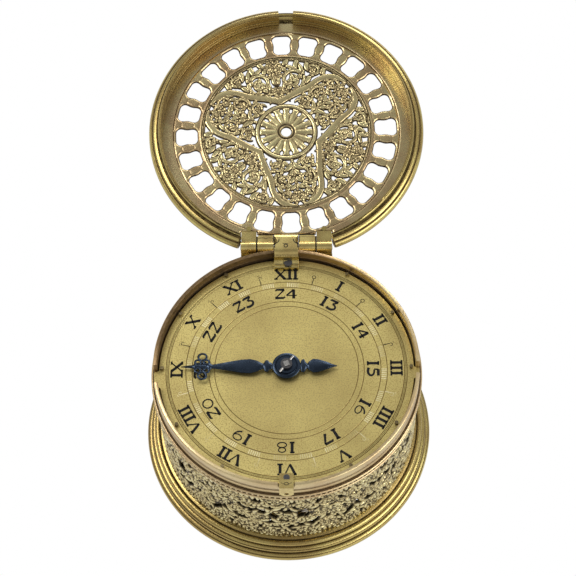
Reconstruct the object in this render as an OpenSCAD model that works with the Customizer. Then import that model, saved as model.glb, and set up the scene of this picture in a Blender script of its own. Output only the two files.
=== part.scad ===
// Drum-shaped clock watch with a hinged, pierced lid, a going train with verge and foliot,
// and a strike train that sounds a bell in the bottom of the case.
// The origin is the centre of the underside, +Z is up and +Y points to the hinge at twelve.
// The lid is drawn open, as the watch stands when it is read.

/* [Case] */
// Outer radius of the pierced side band
case_r = 30; // [29.8:0.1:33]
// Wall of the pierced side band
band_t = 1; // [0.6:0.1:1.1]
// Height of the pierced side band
band_h = 22.4; // [22.2:0.1:26]
// Height of the moulded base
base_h = 5.3; // [4.6:0.1:7]
// How far the base moulding stands out past the band
flange_w = 3.84; // [3:0.1:6]
// Thickness of the base plate
base_t = 1.2; // [0.8:0.1:1.6]
// Height of the beaded collar on the band
collar_h = 2.25; // [2:0.05:3]
// Height of the neck that the lid slips over
neck_h = 4.3; // [4:0.05:4.6]
// Wall of the neck
neck_t = 0.9; // [0.7:0.05:1]

/* [Lid] */
// Thickness of the pierced lid plate
lid_t = 1; // [0.8:0.1:1.4]
// How far the lid's moulding stands out past its free edge
lid_flare = 2.65; // [2:0.05:3.2]
// Number of windows round the lid
window_n = 24; // [18:1:28]
// Inner radius of the ring of windows
window_r = 21.5; // [20.5:0.1:22.5]
// Radial height of a window
window_h = 5.2; // [4:0.1:5.3]
// Angle through which the lid opens
lid_open = 171.5; // [100:0.5:171.5]

/* [Dial] */
// Thickness of the dial plate
dial_t = 1.2; // [1:0.1:1.4]
// Depth of the dial below the rim of the neck
dial_drop = 2.65; // [2.5:0.05:2.8]
// Distance of the touch pins inside the edge of the dial
touch_inset = 0.71; // [0.65:0.01:2]
// Length of the hour hand from centre to tip
hand_l = 23.7; // [18:0.1:26]
// Length of the hour hand's tail
hand_tail = 11.4; // [8:0.1:14]

/* [Movement] */
// Radius of the two movement plates
plate_r = 23.2; // [23:0.1:23.8]
// Thickness of the movement plates
plate_t = 1.2; // [1:0.05:1.3]
// Distance between the movement plates
plate_gap = 8.5; // [8.4:0.05:8.7]
// Height of a bell's rim above the bell's foot
bell_h = 9.4; // [7:0.1:9.6]
// Outer radius of the bell at its rim
bell_r = 25.8; // [25.7:0.1:27]
// Number of turns of each mainspring
spring_turns = 6; // [4:0.5:6.5]
// Thickness of a mainspring
spring_t = 0.4; // [0.3:0.05:0.5]

/* [Hidden] */
$fn = 64;

// Clearances: running fit on a radius, gap between moving faces, slack of the lid on the neck
run = 0.03;
gap = 0.1;
cut = 1;

// Case levels from the ground up
z_band = base_h;
z_collar = z_band + band_h;
z_ledge = z_collar + collar_h;
z_neck = z_ledge + neck_h;
neck_r = case_r - gap;
neck_in = neck_r - neck_t;
collar_r = case_r + 0.3;
base_r = case_r + flange_w;
bore_r = case_r - band_t;

// Lid levels when it is shut, measured in the same frame
lid_in = case_r;
lid_edge = case_r + 0.5;
lid_z = z_neck + gap;
lid_top = lid_z + lid_t + 0.65;
lid_seat = lid_in + 0.6;
lid_gap = 10.75;
rear_ease = 0.25;

// Hinge at twelve
hinge_y = neck_r + 1.5;
dial_z = z_neck - dial_drop;
hinge_z = z_neck - 1.7;
knuckle_r = 1.4;
hinge_pin_r = 0.6;
case_knuckle = [3, 6.5];
lid_knuckle = [7.1, 10.65];
strap_w = 5.6;
strap_t = 0.9;
strap_y = hinge_y - 3.1;
strap_reach = 4.5;
tab_t = 0.6;
lug_z = lid_z + lid_t + tab_t - hinge_z;

// Movement levels, hung from the dial
dial_r = neck_in - 0.29;
touch_r = dial_r - touch_inset;
dial_shift = -0.16;
dial_z0 = dial_z - dial_t;
front_z1 = dial_z0 - 2.5;
front_z0 = front_z1 - plate_t;
back_z1 = front_z0 - plate_gap;
back_z0 = back_z1 - plate_t;

// Teeth: addendum, dedendum and the share of the pitch that a tooth fills, in modules
tooth_add = 0.9;
tooth_ded = 1.25;
tooth_fill = 0.38;
tip_fill = 0.18;

// Going train: modules and tooth counts
going_m = 0.36;
second_m = 0.33;
crown_m = 0.33;
great_n = 54;
second_n = 48;
contrate_n = 36;
crown_n = 17;
leaf_n = 6;
cam_leaf_n = 8;
cam_n = 32;
report_n = 10;
hour_n = 50;

// Strike train: modules and tooth counts
strike_m = 0.3;
warning_m = 0.28;
hoop_n = 42;
warning_n = 36;
hammer_pin_n = 13;
count_leaf_n = 10;
count_n = 60;

// Where the arbors stand, each worked out from the one before it
great = [-10.4, -6.6];
second = great + polar(centre(great_n, leaf_n, going_m), 75.6);
contrate = second + polar(centre(second_n, leaf_n, second_m), 50);
verge_at = contrate + [11.5, 0];
cam_at = great + polar(centre(cam_n, cam_leaf_n, going_m), 120);
strike = [10.4, -6.6];
hoop = strike + polar(centre(great_n, leaf_n, going_m), 94);
warning = hoop + polar(centre(hoop_n, leaf_n, strike_m), 20);
fly_at = warning + polar(centre(warning_n, leaf_n, warning_m), 110);
count_at = strike + polar(centre(count_n, count_leaf_n, strike_m), 205);
lever_at = [1.5, 3.2];
hammer_at = [21.4, -4.4];
report_m = 2 * norm(great) / (report_n + hour_n);

// Phases that put each pair of wheels in mesh
second_a = mesh(0, great_n, leaf_n, 75.6);
contrate_a = mesh(second_a, second_n, leaf_n, 50);
cam_a = mesh(0, cam_leaf_n, cam_n, 120);
hour_a = mesh(0, report_n, hour_n, atan2(-great.y, -great.x));
hoop_a = mesh(0, great_n, leaf_n, 94);
warning_a = mesh(hoop_a, hoop_n, leaf_n, 20);
fly_a = mesh(warning_a, warning_n, leaf_n, 110);
count_a = mesh(0, count_leaf_n, count_n, 205);

// Levels inside the movement, above the back plate
going_spring_z = [0.5, 4.3];
going_ratchet_z = [4.55, 5.15];
going_wheel_z = [5.2, 6.2];
second_wheel_z = [7.1, 7.8];
contrate_z = [0.8, 1.85];
crown_z = 3.3;
strike_wheel_z = [0.8, 1.8];
strike_ratchet_z = [1.85, 2.45];
strike_spring_z = [3.1, 6.1];
hoop_wheel_z = [7.2, 7.8];
warning_wheel_z = [4.4, 5];
// Levels outside the movement, below the back plate
count_z = [-0.3, -1.1];
lock_z = [-1.15, -1.95];
cam_wheel_z = [-0.4, -1.2];
cam_z = [-1.2, -2.2];
foliot_z = [-1.4, -2.2];
cock_z = [-3, -4];
hammer_arm_z = [-2.7, -3.6];

pivot_r = 0.35;
arbor_r = 0.55;
pipe_r = 1.05;
core_r = 0.7;
drum_r = 1.2;
back_pivot_r = 1;
square_w = 0.98;
ratchet_n = 18;
ratchet_r = 3;
click_r = 4.55;
pin_ring_r = 8;
hammer_pin_r = 0.3;
spring_in = 1.75;
spring_out = 8.4;
post_r = 0.6;
contrate_r = contrate_n * crown_m / 2;
crown_r = 2.6;
crown_reach = 1.55;
flag_l = 1.5;
foliot_l = 8;
pillar_ring = 20.8;
pillar_at = [52, 165, 270];
pillar_r = 1.3;
foot_ring = 20.5;
foot_at = [120, 225, 315];
foot_r = 0.6;
roller_r = 1.5;
cam_low = 3;
cam_high = 5.2;
roller_at = cam_at + polar(cam_high + roller_r + run, 75);
count_lock_r = 7.6;
catch_y = neck_in - 1.9;
hand_z = dial_z + 0.8;
hand_t = 0.6;
centre_r = 1.3;

function polar(r, a) = [r * cos(a), r * sin(a)];
function arc(r, a0, a1, n) = [for (i = [0:n]) polar(r, a0 + (a1 - a0) * i / n)];
function centre(n1, n2, m) = (n1 + n2) * m / 2;
// Phase of a wheel of nb teeth that meshes in direction dir with one of na teeth at phase pa
function mesh(pa, na, nb, dir) = dir + 180 - (360 / nb) * (0.5 - (dir - pa) * na / 360);
function tooth(n, m, a) = let (
        rp = n * m / 2,
        root = 180 / n * (tooth_fill + (tooth_fill - tip_fill) * tooth_ded / tooth_add),
        tip = 180 / n * tip_fill
    ) [polar(rp - tooth_ded * m, a - root), polar(rp + tooth_add * m, a - tip),
       polar(rp + tooth_add * m, a + tip), polar(rp - tooth_ded * m, a + root)];
function teeth(n, m, a) = [for (i = [0:n - 1]) each tooth(n, m, a + i * 360 / n)];
// Snail outline that rises from r0 to r1 in one turn and falls back along a short ramp
function snail(r0, r1, a, n) =
    [for (i = [0:n]) polar(r0 + (r1 - r0) * (i < n * 0.9 ? i / n / 0.9 : (1 - i / n) * 10),
        a + 360 * i / (n + 1))];
// Spiral strip of one even thickness between two radii
function spiral_r(f) = spring_in + (spring_out - spring_in) * f;
function spiral(t) = let (n = spring_turns * 20) concat(
    [for (i = [0:n]) polar(spiral_r(i / n) + t / 2, 360 * spring_turns * i / n)],
    [for (i = [n:-1:0]) polar(spiral_r(i / n) - t / 2, 360 * spring_turns * i / n)]);
spring_gap = (spring_out - spring_in) / spring_turns - spring_t;

module at(p, z = 0) { translate([p.x, p.y, z]) children(); }
module rod(r, z0, z1) { translate([0, 0, min(z0, z1)]) cylinder(r = r, h = abs(z1 - z0)); }
module slab(z0, z1) { translate([0, 0, min(z0, z1)]) linear_extrude(abs(z1 - z0)) children(); }
module ring(r1, r0, z0, z1) {
    slab(z0, z1) difference() {
        circle(r1);
        circle(r0);
    }
}
module box(x0, x1, y0, y1, z0, z1) {
    translate([x0, y0, z0]) cube([x1 - x0, y1 - y0, z1 - z0]);
}
// Bar of width w from one point to another
module bar(p, q, w, z0, z1) {
    translate([p.x, p.y, min(z0, z1)])
        rotate([0, 0, atan2(q.y - p.y, q.x - p.x)])
            translate([0, -w / 2, 0])
                cube([norm(q - p), w, abs(z1 - z0)]);
}
// Wheel crossed out with four arms
module wheel(n, m, a, bore, hub, z0, z1, arm = 0.9, rim = 0.9) {
    inner = n * m / 2 - tooth_ded * m - rim;
    slab(z0, z1) difference() {
        polygon(teeth(n, m, a));
        difference() {
            circle(inner);
            circle(hub);
            for (k = [0:1]) rotate(k * 90 + 45) square([2 * inner, arm], center = true);
        }
        circle(bore);
    }
}
module bore_pinion(n, m, a, z0, z1) { slab(z0, z1) polygon(teeth(n, m, a)); }
module between() { translate([0, 0, back_z1]) children(); }
module outside() { translate([0, 0, back_z0]) children(); }
module on_lid() {
    translate([0, hinge_y, hinge_z])
        rotate([-lid_open, 0, 0])
            translate([0, -hinge_y, -hinge_z])
                children();
}
module lying(y, z, r, x0, x1) {
    translate([x0, y, z]) rotate([0, 90, 0]) cylinder(r = r, h = x1 - x0);
}

// Case

module base_ring() {
    color("goldenrod") rotate_extrude($fn = 128) difference() {
        union() {
            square([base_r - 1.1, 2.2]);
            translate([base_r - 1.1, 1.1]) circle(1.1);
            translate([0, 2.2]) square([base_r - 1.94, 2]);
            translate([base_r - 1.94, 2.75]) circle(1.45);
            square([case_r + 1.1, base_h]);
            translate([case_r + 1.1, base_h - 0.95]) circle(0.95);
        }
        translate([0, -cut]) square([bore_r - 0.4, base_h + 2 * cut]);
        translate([0, -cut]) square([bore_r + 0.6, base_t + cut]);
        translate([0, -cut]) square([base_r + cut, cut]);
    }
}

module sound_hole(r, w, h) {
    translate([r, 0]) intersection() {
        translate([-w, 0]) circle(h, $fn = 48);
        translate([w, 0]) circle(h, $fn = 48);
    }
}

module base_plate() {
    color("darkkhaki") slab(0, base_t) difference() {
        circle(bore_r + 0.6, $fn = 128);
        for (i = [0:11]) rotate(i * 30) sound_hole(18, 2, 5);
        for (i = [0:11]) rotate(i * 30 + 15) sound_hole(24, 1.4, 3.4);
    }
}

// Pointed openings with pairs of leaf-shaped ones between them, cut straight in
module band_opening(a, z, w, h, lean) {
    rotate([0, 0, a]) translate([bore_r - cut, 0, z]) rotate([90, 0, 90])
        linear_extrude(band_t + 2 * cut) rotate(lean) intersection() {
            translate([-h + w / 2, 0]) circle(h, $fn = 40);
            translate([h - w / 2, 0]) circle(h, $fn = 40);
        }
}

module case_band() {
    bays = 20;
    mid = z_band + band_h / 2;
    color("khaki") difference() {
        ring(case_r, bore_r, z_band, z_collar, $fn = 128);
        for (s = [-1, 1]) rivet_hole(s * 8.6);
        for (i = [0:bays - 1]) {
            band_opening(i * 360 / bays, mid, 2.6, 6, 0);
            band_opening((i + 0.5) * 360 / bays, mid + 5.4, 1.7, 4.2, 38);
            band_opening((i + 0.5) * 360 / bays, mid - 5.4, 1.7, 4.2, -38);
        }
    }
}

module neck_ring() {
    slot_in = neck_in - cut;
    slot_out = collar_r + cut;
    color("tan") difference() {
        rotate_extrude($fn = 128) union() {
            translate([neck_in, z_collar]) square([collar_r - neck_in, collar_h]);
            translate([neck_in, z_ledge]) square([neck_t, neck_h]);
            translate([collar_r - 0.1, z_collar + 0.5]) circle(0.45);
            translate([collar_r - 0.1, z_collar + 1.5]) circle(0.4);
        }
        // Slots for the two ears of the dial and for the catch
        box(-slot_out, -slot_in, -4.65, -0.45, dial_z0 - 0.05, z_neck + cut);
        box(slot_in, slot_out, -2.65, 0.15, dial_z0 - 0.05, z_neck + cut);
        box(-1.7, 1.7, -slot_out, -slot_in, z_neck - 0.65, z_neck + cut);
    }
}

module bell() {
    wall = 1.1;
    foot = z_band - 2.1;
    color("silver") rotate_extrude($fn = 128) translate([0, foot]) difference() {
        polygon(concat([[0, 0]], bell_side(0), [[0, bell_h]]));
        polygon(concat([[0, wall]], bell_side(wall), [[0, bell_h + cut]]));
        translate([0, -cut]) square([1.5, bell_h]);
    }
}
// Side of the bell as a quarter curve that flares a little at the rim
function bell_side(t) = concat(
    [for (a = [0:10:80]) [bell_r - 4.6 + (3.4 - t) * sin(a), t + (5 - t) * (1 - cos(a))]],
    [[bell_r - 1.1 - t, 5.2], [bell_r - t, bell_h + (t > 0 ? cut : 0)]]);

module bell_post() {
    foot = z_band - 2.1;
    color("silver") union() {
        rod(3, base_t, foot);
        rod(1.5, base_t, foot + 3.2);
    }
}

module bell_nut() {
    foot = z_band - 2.1;
    color("silver") translate([0, 0, foot + 1.1]) difference() {
        cylinder(r = 2.6, h = 1.6, $fn = 6);
        translate([0, 0, -cut]) cylinder(r = 1.5, h = 4);
    }
}

module hinge_plate() {
    y0 = collar_r - 1.4;
    color("goldenrod") difference() {
        union() {
            box(-lid_gap, lid_gap, y0, collar_r + 1.1, z_collar - 1.2, z_ledge - 0.25);
            for (s = [0, 1]) mirror([s, 0, 0]) {
                box(case_knuckle.x, case_knuckle.y, hinge_y - 1, hinge_y + 1, z_ledge - 0.3, hinge_z);
                lying(hinge_y, hinge_z, knuckle_r, case_knuckle.x, case_knuckle.y);
                // Ear that the open lid's lug comes to rest on
                translate([lid_knuckle.x, hinge_y, hinge_z]) rotate([180 - lid_open, 0, 0])
                    translate([0, -1.1, -4.4]) cube([lid_knuckle.y - lid_knuckle.x, 3.8, 4.4 - lug_z - run]);
            }
        }
        rod(collar_r + 0.36, z_collar - 3, z_ledge, $fn = 128);
        rod(neck_r + 0.15, z_ledge - cut, z_neck, $fn = 128);
        lying(hinge_y, hinge_z, hinge_pin_r, -lid_gap, lid_gap);
        for (s = [-1, 1]) rivet_hole(s * 8.6);
    }
}
module rivet_hole(x) {
    translate([x, case_r - 3, z_collar - 0.6]) rotate([-90, 0, 0]) cylinder(r = 0.45, h = 8);
}

module hinge_rivets() {
    color("darkgoldenrod") for (s = [-1, 1]) difference() {
        translate([s * 8.6, collar_r + 1.1, z_collar - 0.6]) rotate([90, 0, 0])
            union() {
                cylinder(r = 0.45, h = 5);
                translate([0, 0, -0.35]) cylinder(r = 0.8, h = 0.35);
            }
        rod(bore_r, z_collar - 3, z_collar + cut, $fn = 128);
    }
}

module hinge_pin() {
    color("dimgray") lying(hinge_y, hinge_z, hinge_pin_r, -lid_gap, lid_gap);
}

// Lid

module lid_rim() {
    mould = lid_edge + lid_flare;
    rise_y = lid_in - 9.5;
    color("goldenrod") on_lid() difference() {
        rotate_extrude($fn = 128) difference() {
            union() {
                translate([0, z_ledge + 0.05]) square([lid_edge, lid_top - z_ledge - 0.05]);
                translate([lid_edge - 0.2, z_ledge + 1.15]) circle(0.5);
                translate([0, z_ledge + 1.9]) square([mould - 1.3, lid_top - z_ledge - 2.4]);
                translate([mould - 1.2, z_ledge + 3.65]) circle(1.2);
                translate([mould - 1.5, lid_top - 1.1]) circle(0.9);
                translate([0, lid_top - 0.8]) square([mould - 1.5, 0.8]);
            }
            square([lid_in, lid_top + cut]);
            translate([0, lid_z]) square([lid_seat, lid_top]);
            translate([0, lid_top]) square([mould + cut, cut]);
        }
        // The bore is eased and the free edge rises towards the hinge, so that it swings clear
        translate([0, rear_ease, 0]) rod(lid_in, z_ledge - cut, lid_z - 0.01, $fn = 128);
        translate([0, rise_y, z_ledge]) rotate([9.5, 0, 0]) box(-mould, mould, 0, mould, -8, 0.05);
        box(-lid_gap, lid_gap, 5, mould + cut, z_ledge - cut, lid_top + cut);
        box(-1.75, 1.75, -mould - cut, -5, z_ledge - cut, lid_z);
    }
}

// Window between two spokes: a ring sector with rounded corners
module window() {
    turn = -2.6;
    half = 360 / window_n * 0.335;
    r0 = window_r;
    r1 = window_r + window_h;
    c = 1.1;
    slope = asin(c / r1);
    ease = asin(c / r0);
    rotate(turn) polygon(concat(
        arc(r1, -half + slope, half - slope, 4),
        [polar(r1 - c * 0.3, half - slope * 0.3), polar(r1 - c, half)],
        [polar((r0 + r1) / 2, half - 0.9), polar(r0 + c, half)],
        [polar(r0 + c * 0.3, half - ease * 0.3)],
        arc(r0, half - ease, -half + ease, 4),
        [polar(r0 + c * 0.3, -half + ease * 0.3), polar(r0 + c, -half)],
        [polar((r0 + r1) / 2, -half + 0.9), polar(r1 - c, -half)],
        [polar(r1 - c * 0.3, -half + slope * 0.3)]));
}

module hoop2d(p, r, w) {
    translate(p) difference() {
        circle(r + w / 2);
        circle(r - w / 2);
    }
}

// Interlaced straps, leafy scrolls and the rosette inside the ring of windows
module roundel() {
    r = window_r - 1.2;
    lobe = r * 0.48;
    hoop2d([0, 0], window_r - 0.7, 1.6);
    hoop2d([0, 0], r * 0.33, 1.3);
    hoop2d([0, 0], r * 0.1, 2.2);
    for (i = [0:11]) rotate(i * 30) translate([r * 0.2, 0]) square([r * 0.22, 0.8], center = true);
    for (k = [0:2]) rotate(k * 120 - 90) {
        hoop2d([r * 0.53, 0], lobe - 0.6, 1.3);
        for (s = [-1, 1]) {
            hoop2d([r * 0.49, s * r * 0.2], r * 0.14, 1.0);
            hoop2d([r * 0.74, s * r * 0.17], r * 0.13, 1.0);
        }
        hoop2d([r * 0.88, 0], r * 0.09, 0.9);
    }
    for (k = [0:2]) rotate(k * 120 - 30) {
        hoop2d([r * 0.78, 0], r * 0.16, 1.0);
        for (s = [-1, 1]) hoop2d([r * 0.8, s * r * 0.27], r * 0.13, 1.0);
        hoop2d([r * 0.5, 0], r * 0.12, 1.0);
    }
}

module lid_grille() {
    color("darkkhaki") on_lid() slab(lid_z, lid_z + lid_t) difference() {
        union() {
            difference() {
                circle(lid_seat, $fn = 128);
                circle(window_r - 0.4);
            }
            intersection() {
                roundel($fn = 40);
                circle(window_r + 0.1);
            }
        }
        for (i = [0:window_n - 1]) rotate(90 + 360 / window_n * i) window();
        circle(1.25);
        translate([-7, hinge_y - strap_reach + 0.3]) square([14, 10]);
        for (s = [-1, 1]) translate([s * 8.87 - 1.88, hinge_y - 5]) square([3.76, 10]);
        for (s = [-1, 1]) translate([s * 8.87, hinge_y - 5.6]) circle(0.35);
    }
}

module lid_lugs() {
    x0 = lid_knuckle.x;
    x1 = lid_knuckle.y;
    color("tan") on_lid() for (s = [0, 1]) mirror([s, 0, 0]) difference() {
        union() {
            box(x0, x1, hinge_y - 4.98, hinge_y, lid_z, lid_z + lid_t);
            box(x0, x1, hinge_y - 6.1, hinge_y, lid_z + lid_t, lid_z + lid_t + tab_t);
            lying(hinge_y, hinge_z, knuckle_r, x0, x1);
            box(x0, x1, hinge_y - 0.9, hinge_y + 0.9, hinge_z, lid_z + lid_t - 0.3);
        }
        lying(hinge_y, hinge_z, hinge_pin_r + run, x0 - cut, x1 + cut);
        at([8.87, hinge_y - 5.6]) rod(0.35, 0, lid_top + cut);
    }
}

module lid_rivets() {
    color("darkgoldenrod") on_lid() for (s = [-1, 1]) at([s * 8.87, hinge_y - 5.6])
        union() {
            rod(0.35, lid_z, lid_z + lid_t + tab_t);
            rod(0.6, lid_z - 0.08, lid_z);
        }
}

// Movement frame

module dial_plate() {
    color("darkkhaki") difference() {
        union() {
            translate([0, dial_shift, 0]) rod(dial_r, dial_z0, dial_z, $fn = 128);
            intersection() {
                union() {
                    box(-neck_r, -neck_in + 2, -4.5, -0.6, dial_z0, dial_z);
                    box(neck_in - 2, neck_r, -2.5, 0, dial_z0, dial_z);
                }
                rod(neck_r, dial_z0, dial_z, $fn = 128);
            }
        }
        rod(centre_r + run, dial_z0 - cut, dial_z + cut);
        for (h = [1:11]) if (h != 6) at(polar(touch_r, 90 - 30 * h)) rod(0.42, dial_z - 0.6, dial_z + cut);
        at([0, -catch_y]) rod(0.4, dial_z0 - cut, dial_z + cut);
        for (a = foot_at) at(polar(foot_ring, a)) rod(foot_r, dial_z0 - cut, dial_z0 + 0.7);
        at([0.4, strap_y - 1.4]) rod(0.7, dial_z0 - cut, dial_z + cut);
    }
}

module touch_pins() {
    color("darkkhaki") for (h = [1:11]) if (h != 6)
        at(polar(touch_r, 90 - 30 * h)) rod(0.42, dial_z - 0.6, dial_z + 0.7);
}

module dial_feet() {
    color("darkkhaki") for (a = foot_at) at(polar(foot_ring, a)) difference() {
        union() {
            rod(foot_r, front_z0 - 0.9, dial_z0 + 0.7);
            rod(1.1, front_z1, dial_z0);
        }
        translate([0, 0, front_z0 - 0.28]) rotate([0, 0, a]) rotate([90, 0, 0])
            cylinder(r = 0.25, h = 4, center = true);
    }
}

module dial_foot_pins() {
    color("dimgray") for (a = foot_at) at(polar(foot_ring, a), front_z0 - 0.28)
        rotate([0, 0, a]) rotate([90, 0, 0]) cylinder(r = 0.25, h = 2.6, center = true);
}

module hinge_strap() {
    w = strap_w / 2;
    top = z_neck + gap + strap_t;
    color("tan") difference() {
        union() {
            box(-w, w, strap_y - 2.5, strap_y, dial_z, dial_z + 1.1);
            box(-w, w, strap_y - 2, strap_y, dial_z + 1, dial_z + 1.5);
            box(-w, w, strap_y - 0.85, strap_y, dial_z, hinge_z + 1.8);
            intersection() {
                union() {
                    box(-w, w, strap_y - 0.85, strap_y, hinge_z + 1.7, top);
                    box(-w, w, strap_y - 0.85, hinge_y + 1, z_neck + gap, top);
                }
                lying(hinge_y, hinge_z, strap_reach, -w, w);
            }
            box(-w, w, hinge_y - 0.95, hinge_y + 0.95, hinge_z, z_neck + gap + 0.2);
            translate([-w, hinge_y, hinge_z]) intersection() {
                rotate([0, 90, 0]) cylinder(r = 3.2, h = strap_w);
                translate([0, 0, z_neck + gap - hinge_z]) cube([strap_w, 3, strap_t]);
            }
            lying(hinge_y, hinge_z, knuckle_r, -w, w);
        }
        lying(hinge_y, hinge_z, hinge_pin_r + run, -w - cut, w + cut);
        at([0.4, strap_y - 1.4]) rod(0.7, dial_z - cut, dial_z + 3);
        // Head of the screw is let into the foot
        at([0.4, strap_y - 1.4]) rod(1.02, dial_z + 1, dial_z + 3);
    }
}

module strap_screw() {
    color("dimgray") at([0.4, strap_y - 1.4]) difference() {
        union() {
            rod(0.7, dial_z0 - 0.9, dial_z + 1);
            rod(0.98, dial_z + 1, dial_z + 1.6);
        }
        translate([-2, -0.15, dial_z + 1.3]) rotate([0, 0, 20]) cube([4, 0.3, cut]);
    }
}

// Every arbor that pivots in both plates
pivots = [second, contrate, hoop, warning, fly_at, hammer_at, lever_at];

module front_plate() {
    color("goldenrod") difference() {
        rod(plate_r, front_z0, front_z1, $fn = 128);
        for (p = pivots) at(p) rod(pivot_r + run, front_z0 - cut, front_z1 + cut);
        at(strike) rod(core_r + run, front_z0 - cut, front_z1 + cut);
        at(great) rod(pipe_r + run, front_z0 - cut, front_z1 + cut);
        rod(0.6 + run, front_z0 - cut, front_z1 + cut);
        for (a = pillar_at) at(polar(pillar_ring, a)) rod(0.7, front_z0 - cut, front_z1 + cut);
        for (a = foot_at) at(polar(foot_ring, a)) rod(foot_r, front_z0 - cut, front_z1 + cut);
    }
}

module pillars() {
    color("goldenrod") for (a = pillar_at) at(polar(pillar_ring, a)) difference() {
        union() {
            rod(pillar_r, back_z1, back_z1 + 1);
            rod(1, back_z1, front_z0);
            rod(pillar_r, back_z1 + plate_gap / 2 - 0.6, back_z1 + plate_gap / 2 + 0.6);
            rod(pillar_r, front_z0 - 1, front_z0);
            rod(0.7, back_z0, front_z1 + 0.9);
        }
        translate([0, 0, front_z1 + 0.3]) rotate([90, 0, a]) cylinder(r = 0.28, h = 6, center = true);
    }
}

module pillar_pins() {
    color("dimgray") for (a = pillar_at) at(polar(pillar_ring, a), front_z1 + 0.3)
        rotate([90, 0, a]) cylinder(r = 0.28, h = 3.2, center = true);
}

module back_plate() {
    color("goldenrod") difference() {
        union() {
            rod(plate_r, back_z0, back_z1, $fn = 128);
            // Studs for the count wheel and for the stackfreed cam
            at(count_at) rod(0.8, back_z0 - 2.1, back_z0);
            at(cam_at) rod(0.8, back_z0 - 2.3, back_z0);
        }
        for (p = pivots) if (p != lever_at && p != hammer_at)
            at(p) rod(pivot_r + run, back_z0 - cut, back_z1 + cut);
        at(lever_at) rod(arbor_r + run, back_z0 - cut, back_z1 + cut);
        at(hammer_at) rod(core_r + run, back_z0 - cut, back_z1 + cut);
        at(great) rod(back_pivot_r + run, back_z0 - cut, back_z1 + cut);
        at(strike) rod(pipe_r + run, back_z0 - cut, back_z1 + cut);
        at(verge_at) rod(0.6, back_z0 - cut, back_z1 + cut);
        for (a = pillar_at) at(polar(pillar_ring, a)) rod(0.7, back_z0 - cut, back_z1 + cut);
        for (p = screw_at) at(p) rod(0.5, back_z0 - cut, back_z1 + cut);
    }
}

module mainspring(p, z) {
    at(p) difference() {
        slab(back_z1 + z.x, back_z1 + z.y) polygon(spiral(spring_t));
        at([spring_out + 0.35, 0]) rod(post_r, back_z1, front_z0);
    }
}
module going_spring() { color("slategray") mainspring(great, going_spring_z); }
module strike_spring() { color("slategray") mainspring(strike, strike_spring_z); }

module spring_posts() {
    color("slategray") union() {
        at(great + [spring_out + 0.35, 0]) rod(post_r, back_z1, back_z1 + going_spring_z.y);
        at(strike + [spring_out + 0.35, 0]) rod(post_r, back_z1 + strike_spring_z.x, front_z0);
    }
}

module potence() {
    x = verge_at.x;
    y = verge_at.y;
    color("goldenrod") difference() {
        union() {
            between() {
                box(x - 2.3, x - 0.7, y + 4.4, y + 6.2, 0, 7);
                box(x - 1.45, x - 0.85, y - 0.9, y + 4.6, crown_z - 0.8, crown_z + 0.8);
                lying(y, crown_z, 0.9, x - 2.1, x - 0.85);
                bar([x - 1.5, y + 5.2], [x, y], 1.4, 6.2, 7);
                at([x, y]) rod(0.95, 6.2, 7);
            }
        }
        between() {
            lying(y, crown_z, pivot_r + run, x - 4, x - 0.8);
            at([x, y]) rod(pivot_r + run, 6, 8);
        }
    }
}

module counter_potence() {
    x = verge_at.x;
    y = verge_at.y;
    color("goldenrod") between() difference() {
        box(x - 8.6, x - 7.6, y - 0.9, y + 0.9, crown_z - 0.6, plate_gap);
        lying(y, crown_z, pivot_r + run, x - 9, x - 7);
    }
}

// Screws that hold the cock, the regulator, the hammer spring and the stackfreed spring
cock_foot = verge_at + [0, 5.2];
regulator_foot = verge_at + [6.6, 0];
hammer_spring_foot = [19.6, -11.2];
stackfreed_foot = [-2.6, 19.4];
screw_at = [cock_foot, regulator_foot, hammer_spring_foot, stackfreed_foot];
screw_head_z = [cock_z.y, -0.8, -1.2, -3.2];

module foliot_cock() {
    color("goldenrod") outside() difference() {
        union() {
            at(cock_foot) rod(1.6, 0, cock_z.y);
            bar(cock_foot, verge_at, 1.8, cock_z.x, cock_z.y);
            at(verge_at) rod(1.4, cock_z.x, cock_z.y);
        }
        at(verge_at) rod(pivot_r + run, cut, cock_z.y - cut);
        at(cock_foot) rod(0.5, cut, cock_z.y - cut);
    }
}

module plate_screws() {
    color("dimgray") outside() for (i = [0:3]) at(screw_at[i]) difference() {
        union() {
            rod(0.5, plate_t, screw_head_z[i]);
            rod(0.95, screw_head_z[i], screw_head_z[i] - 0.5);
        }
        translate([-1.5, -0.12, screw_head_z[i] - 0.7]) cube([3, 0.24, 0.45]);
    }
}

module bristle_regulator() {
    color("tan") outside() difference() {
        union() {
            at(verge_at) slab(0, -0.8) intersection() {
                difference() {
                    circle(6.2);
                    circle(5);
                }
                polygon([[0, 0], polar(12, -52), polar(16, -26), polar(16, 26), polar(12, 52)]);
            }
            at(regulator_foot) rod(1.3, 0, -0.8);
            for (s = [-1, 1]) at(verge_at + polar(5.6, s * 47)) rod(0.22, 0, -2.6);
        }
        at(regulator_foot) rod(0.5, cut, -2);
    }
}

module hammer_spring() {
    tip = hammer_at + [-1.2, -2.1];
    color("slategray") outside() difference() {
        union() {
            at(hammer_spring_foot) rod(1.2, 0, -1.2);
            bar(hammer_spring_foot, tip, 0.5, -0.2, -1.2);
        }
        at(hammer_spring_foot) rod(0.5, cut, -2);
    }
}

module catch_rivet() {
    color("dimgray") at([0, -catch_y]) union() {
        rod(0.4, dial_z0, dial_z + 0.5);
        rod(0.7, dial_z + 0.5, dial_z + 0.85);
    }
}

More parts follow.
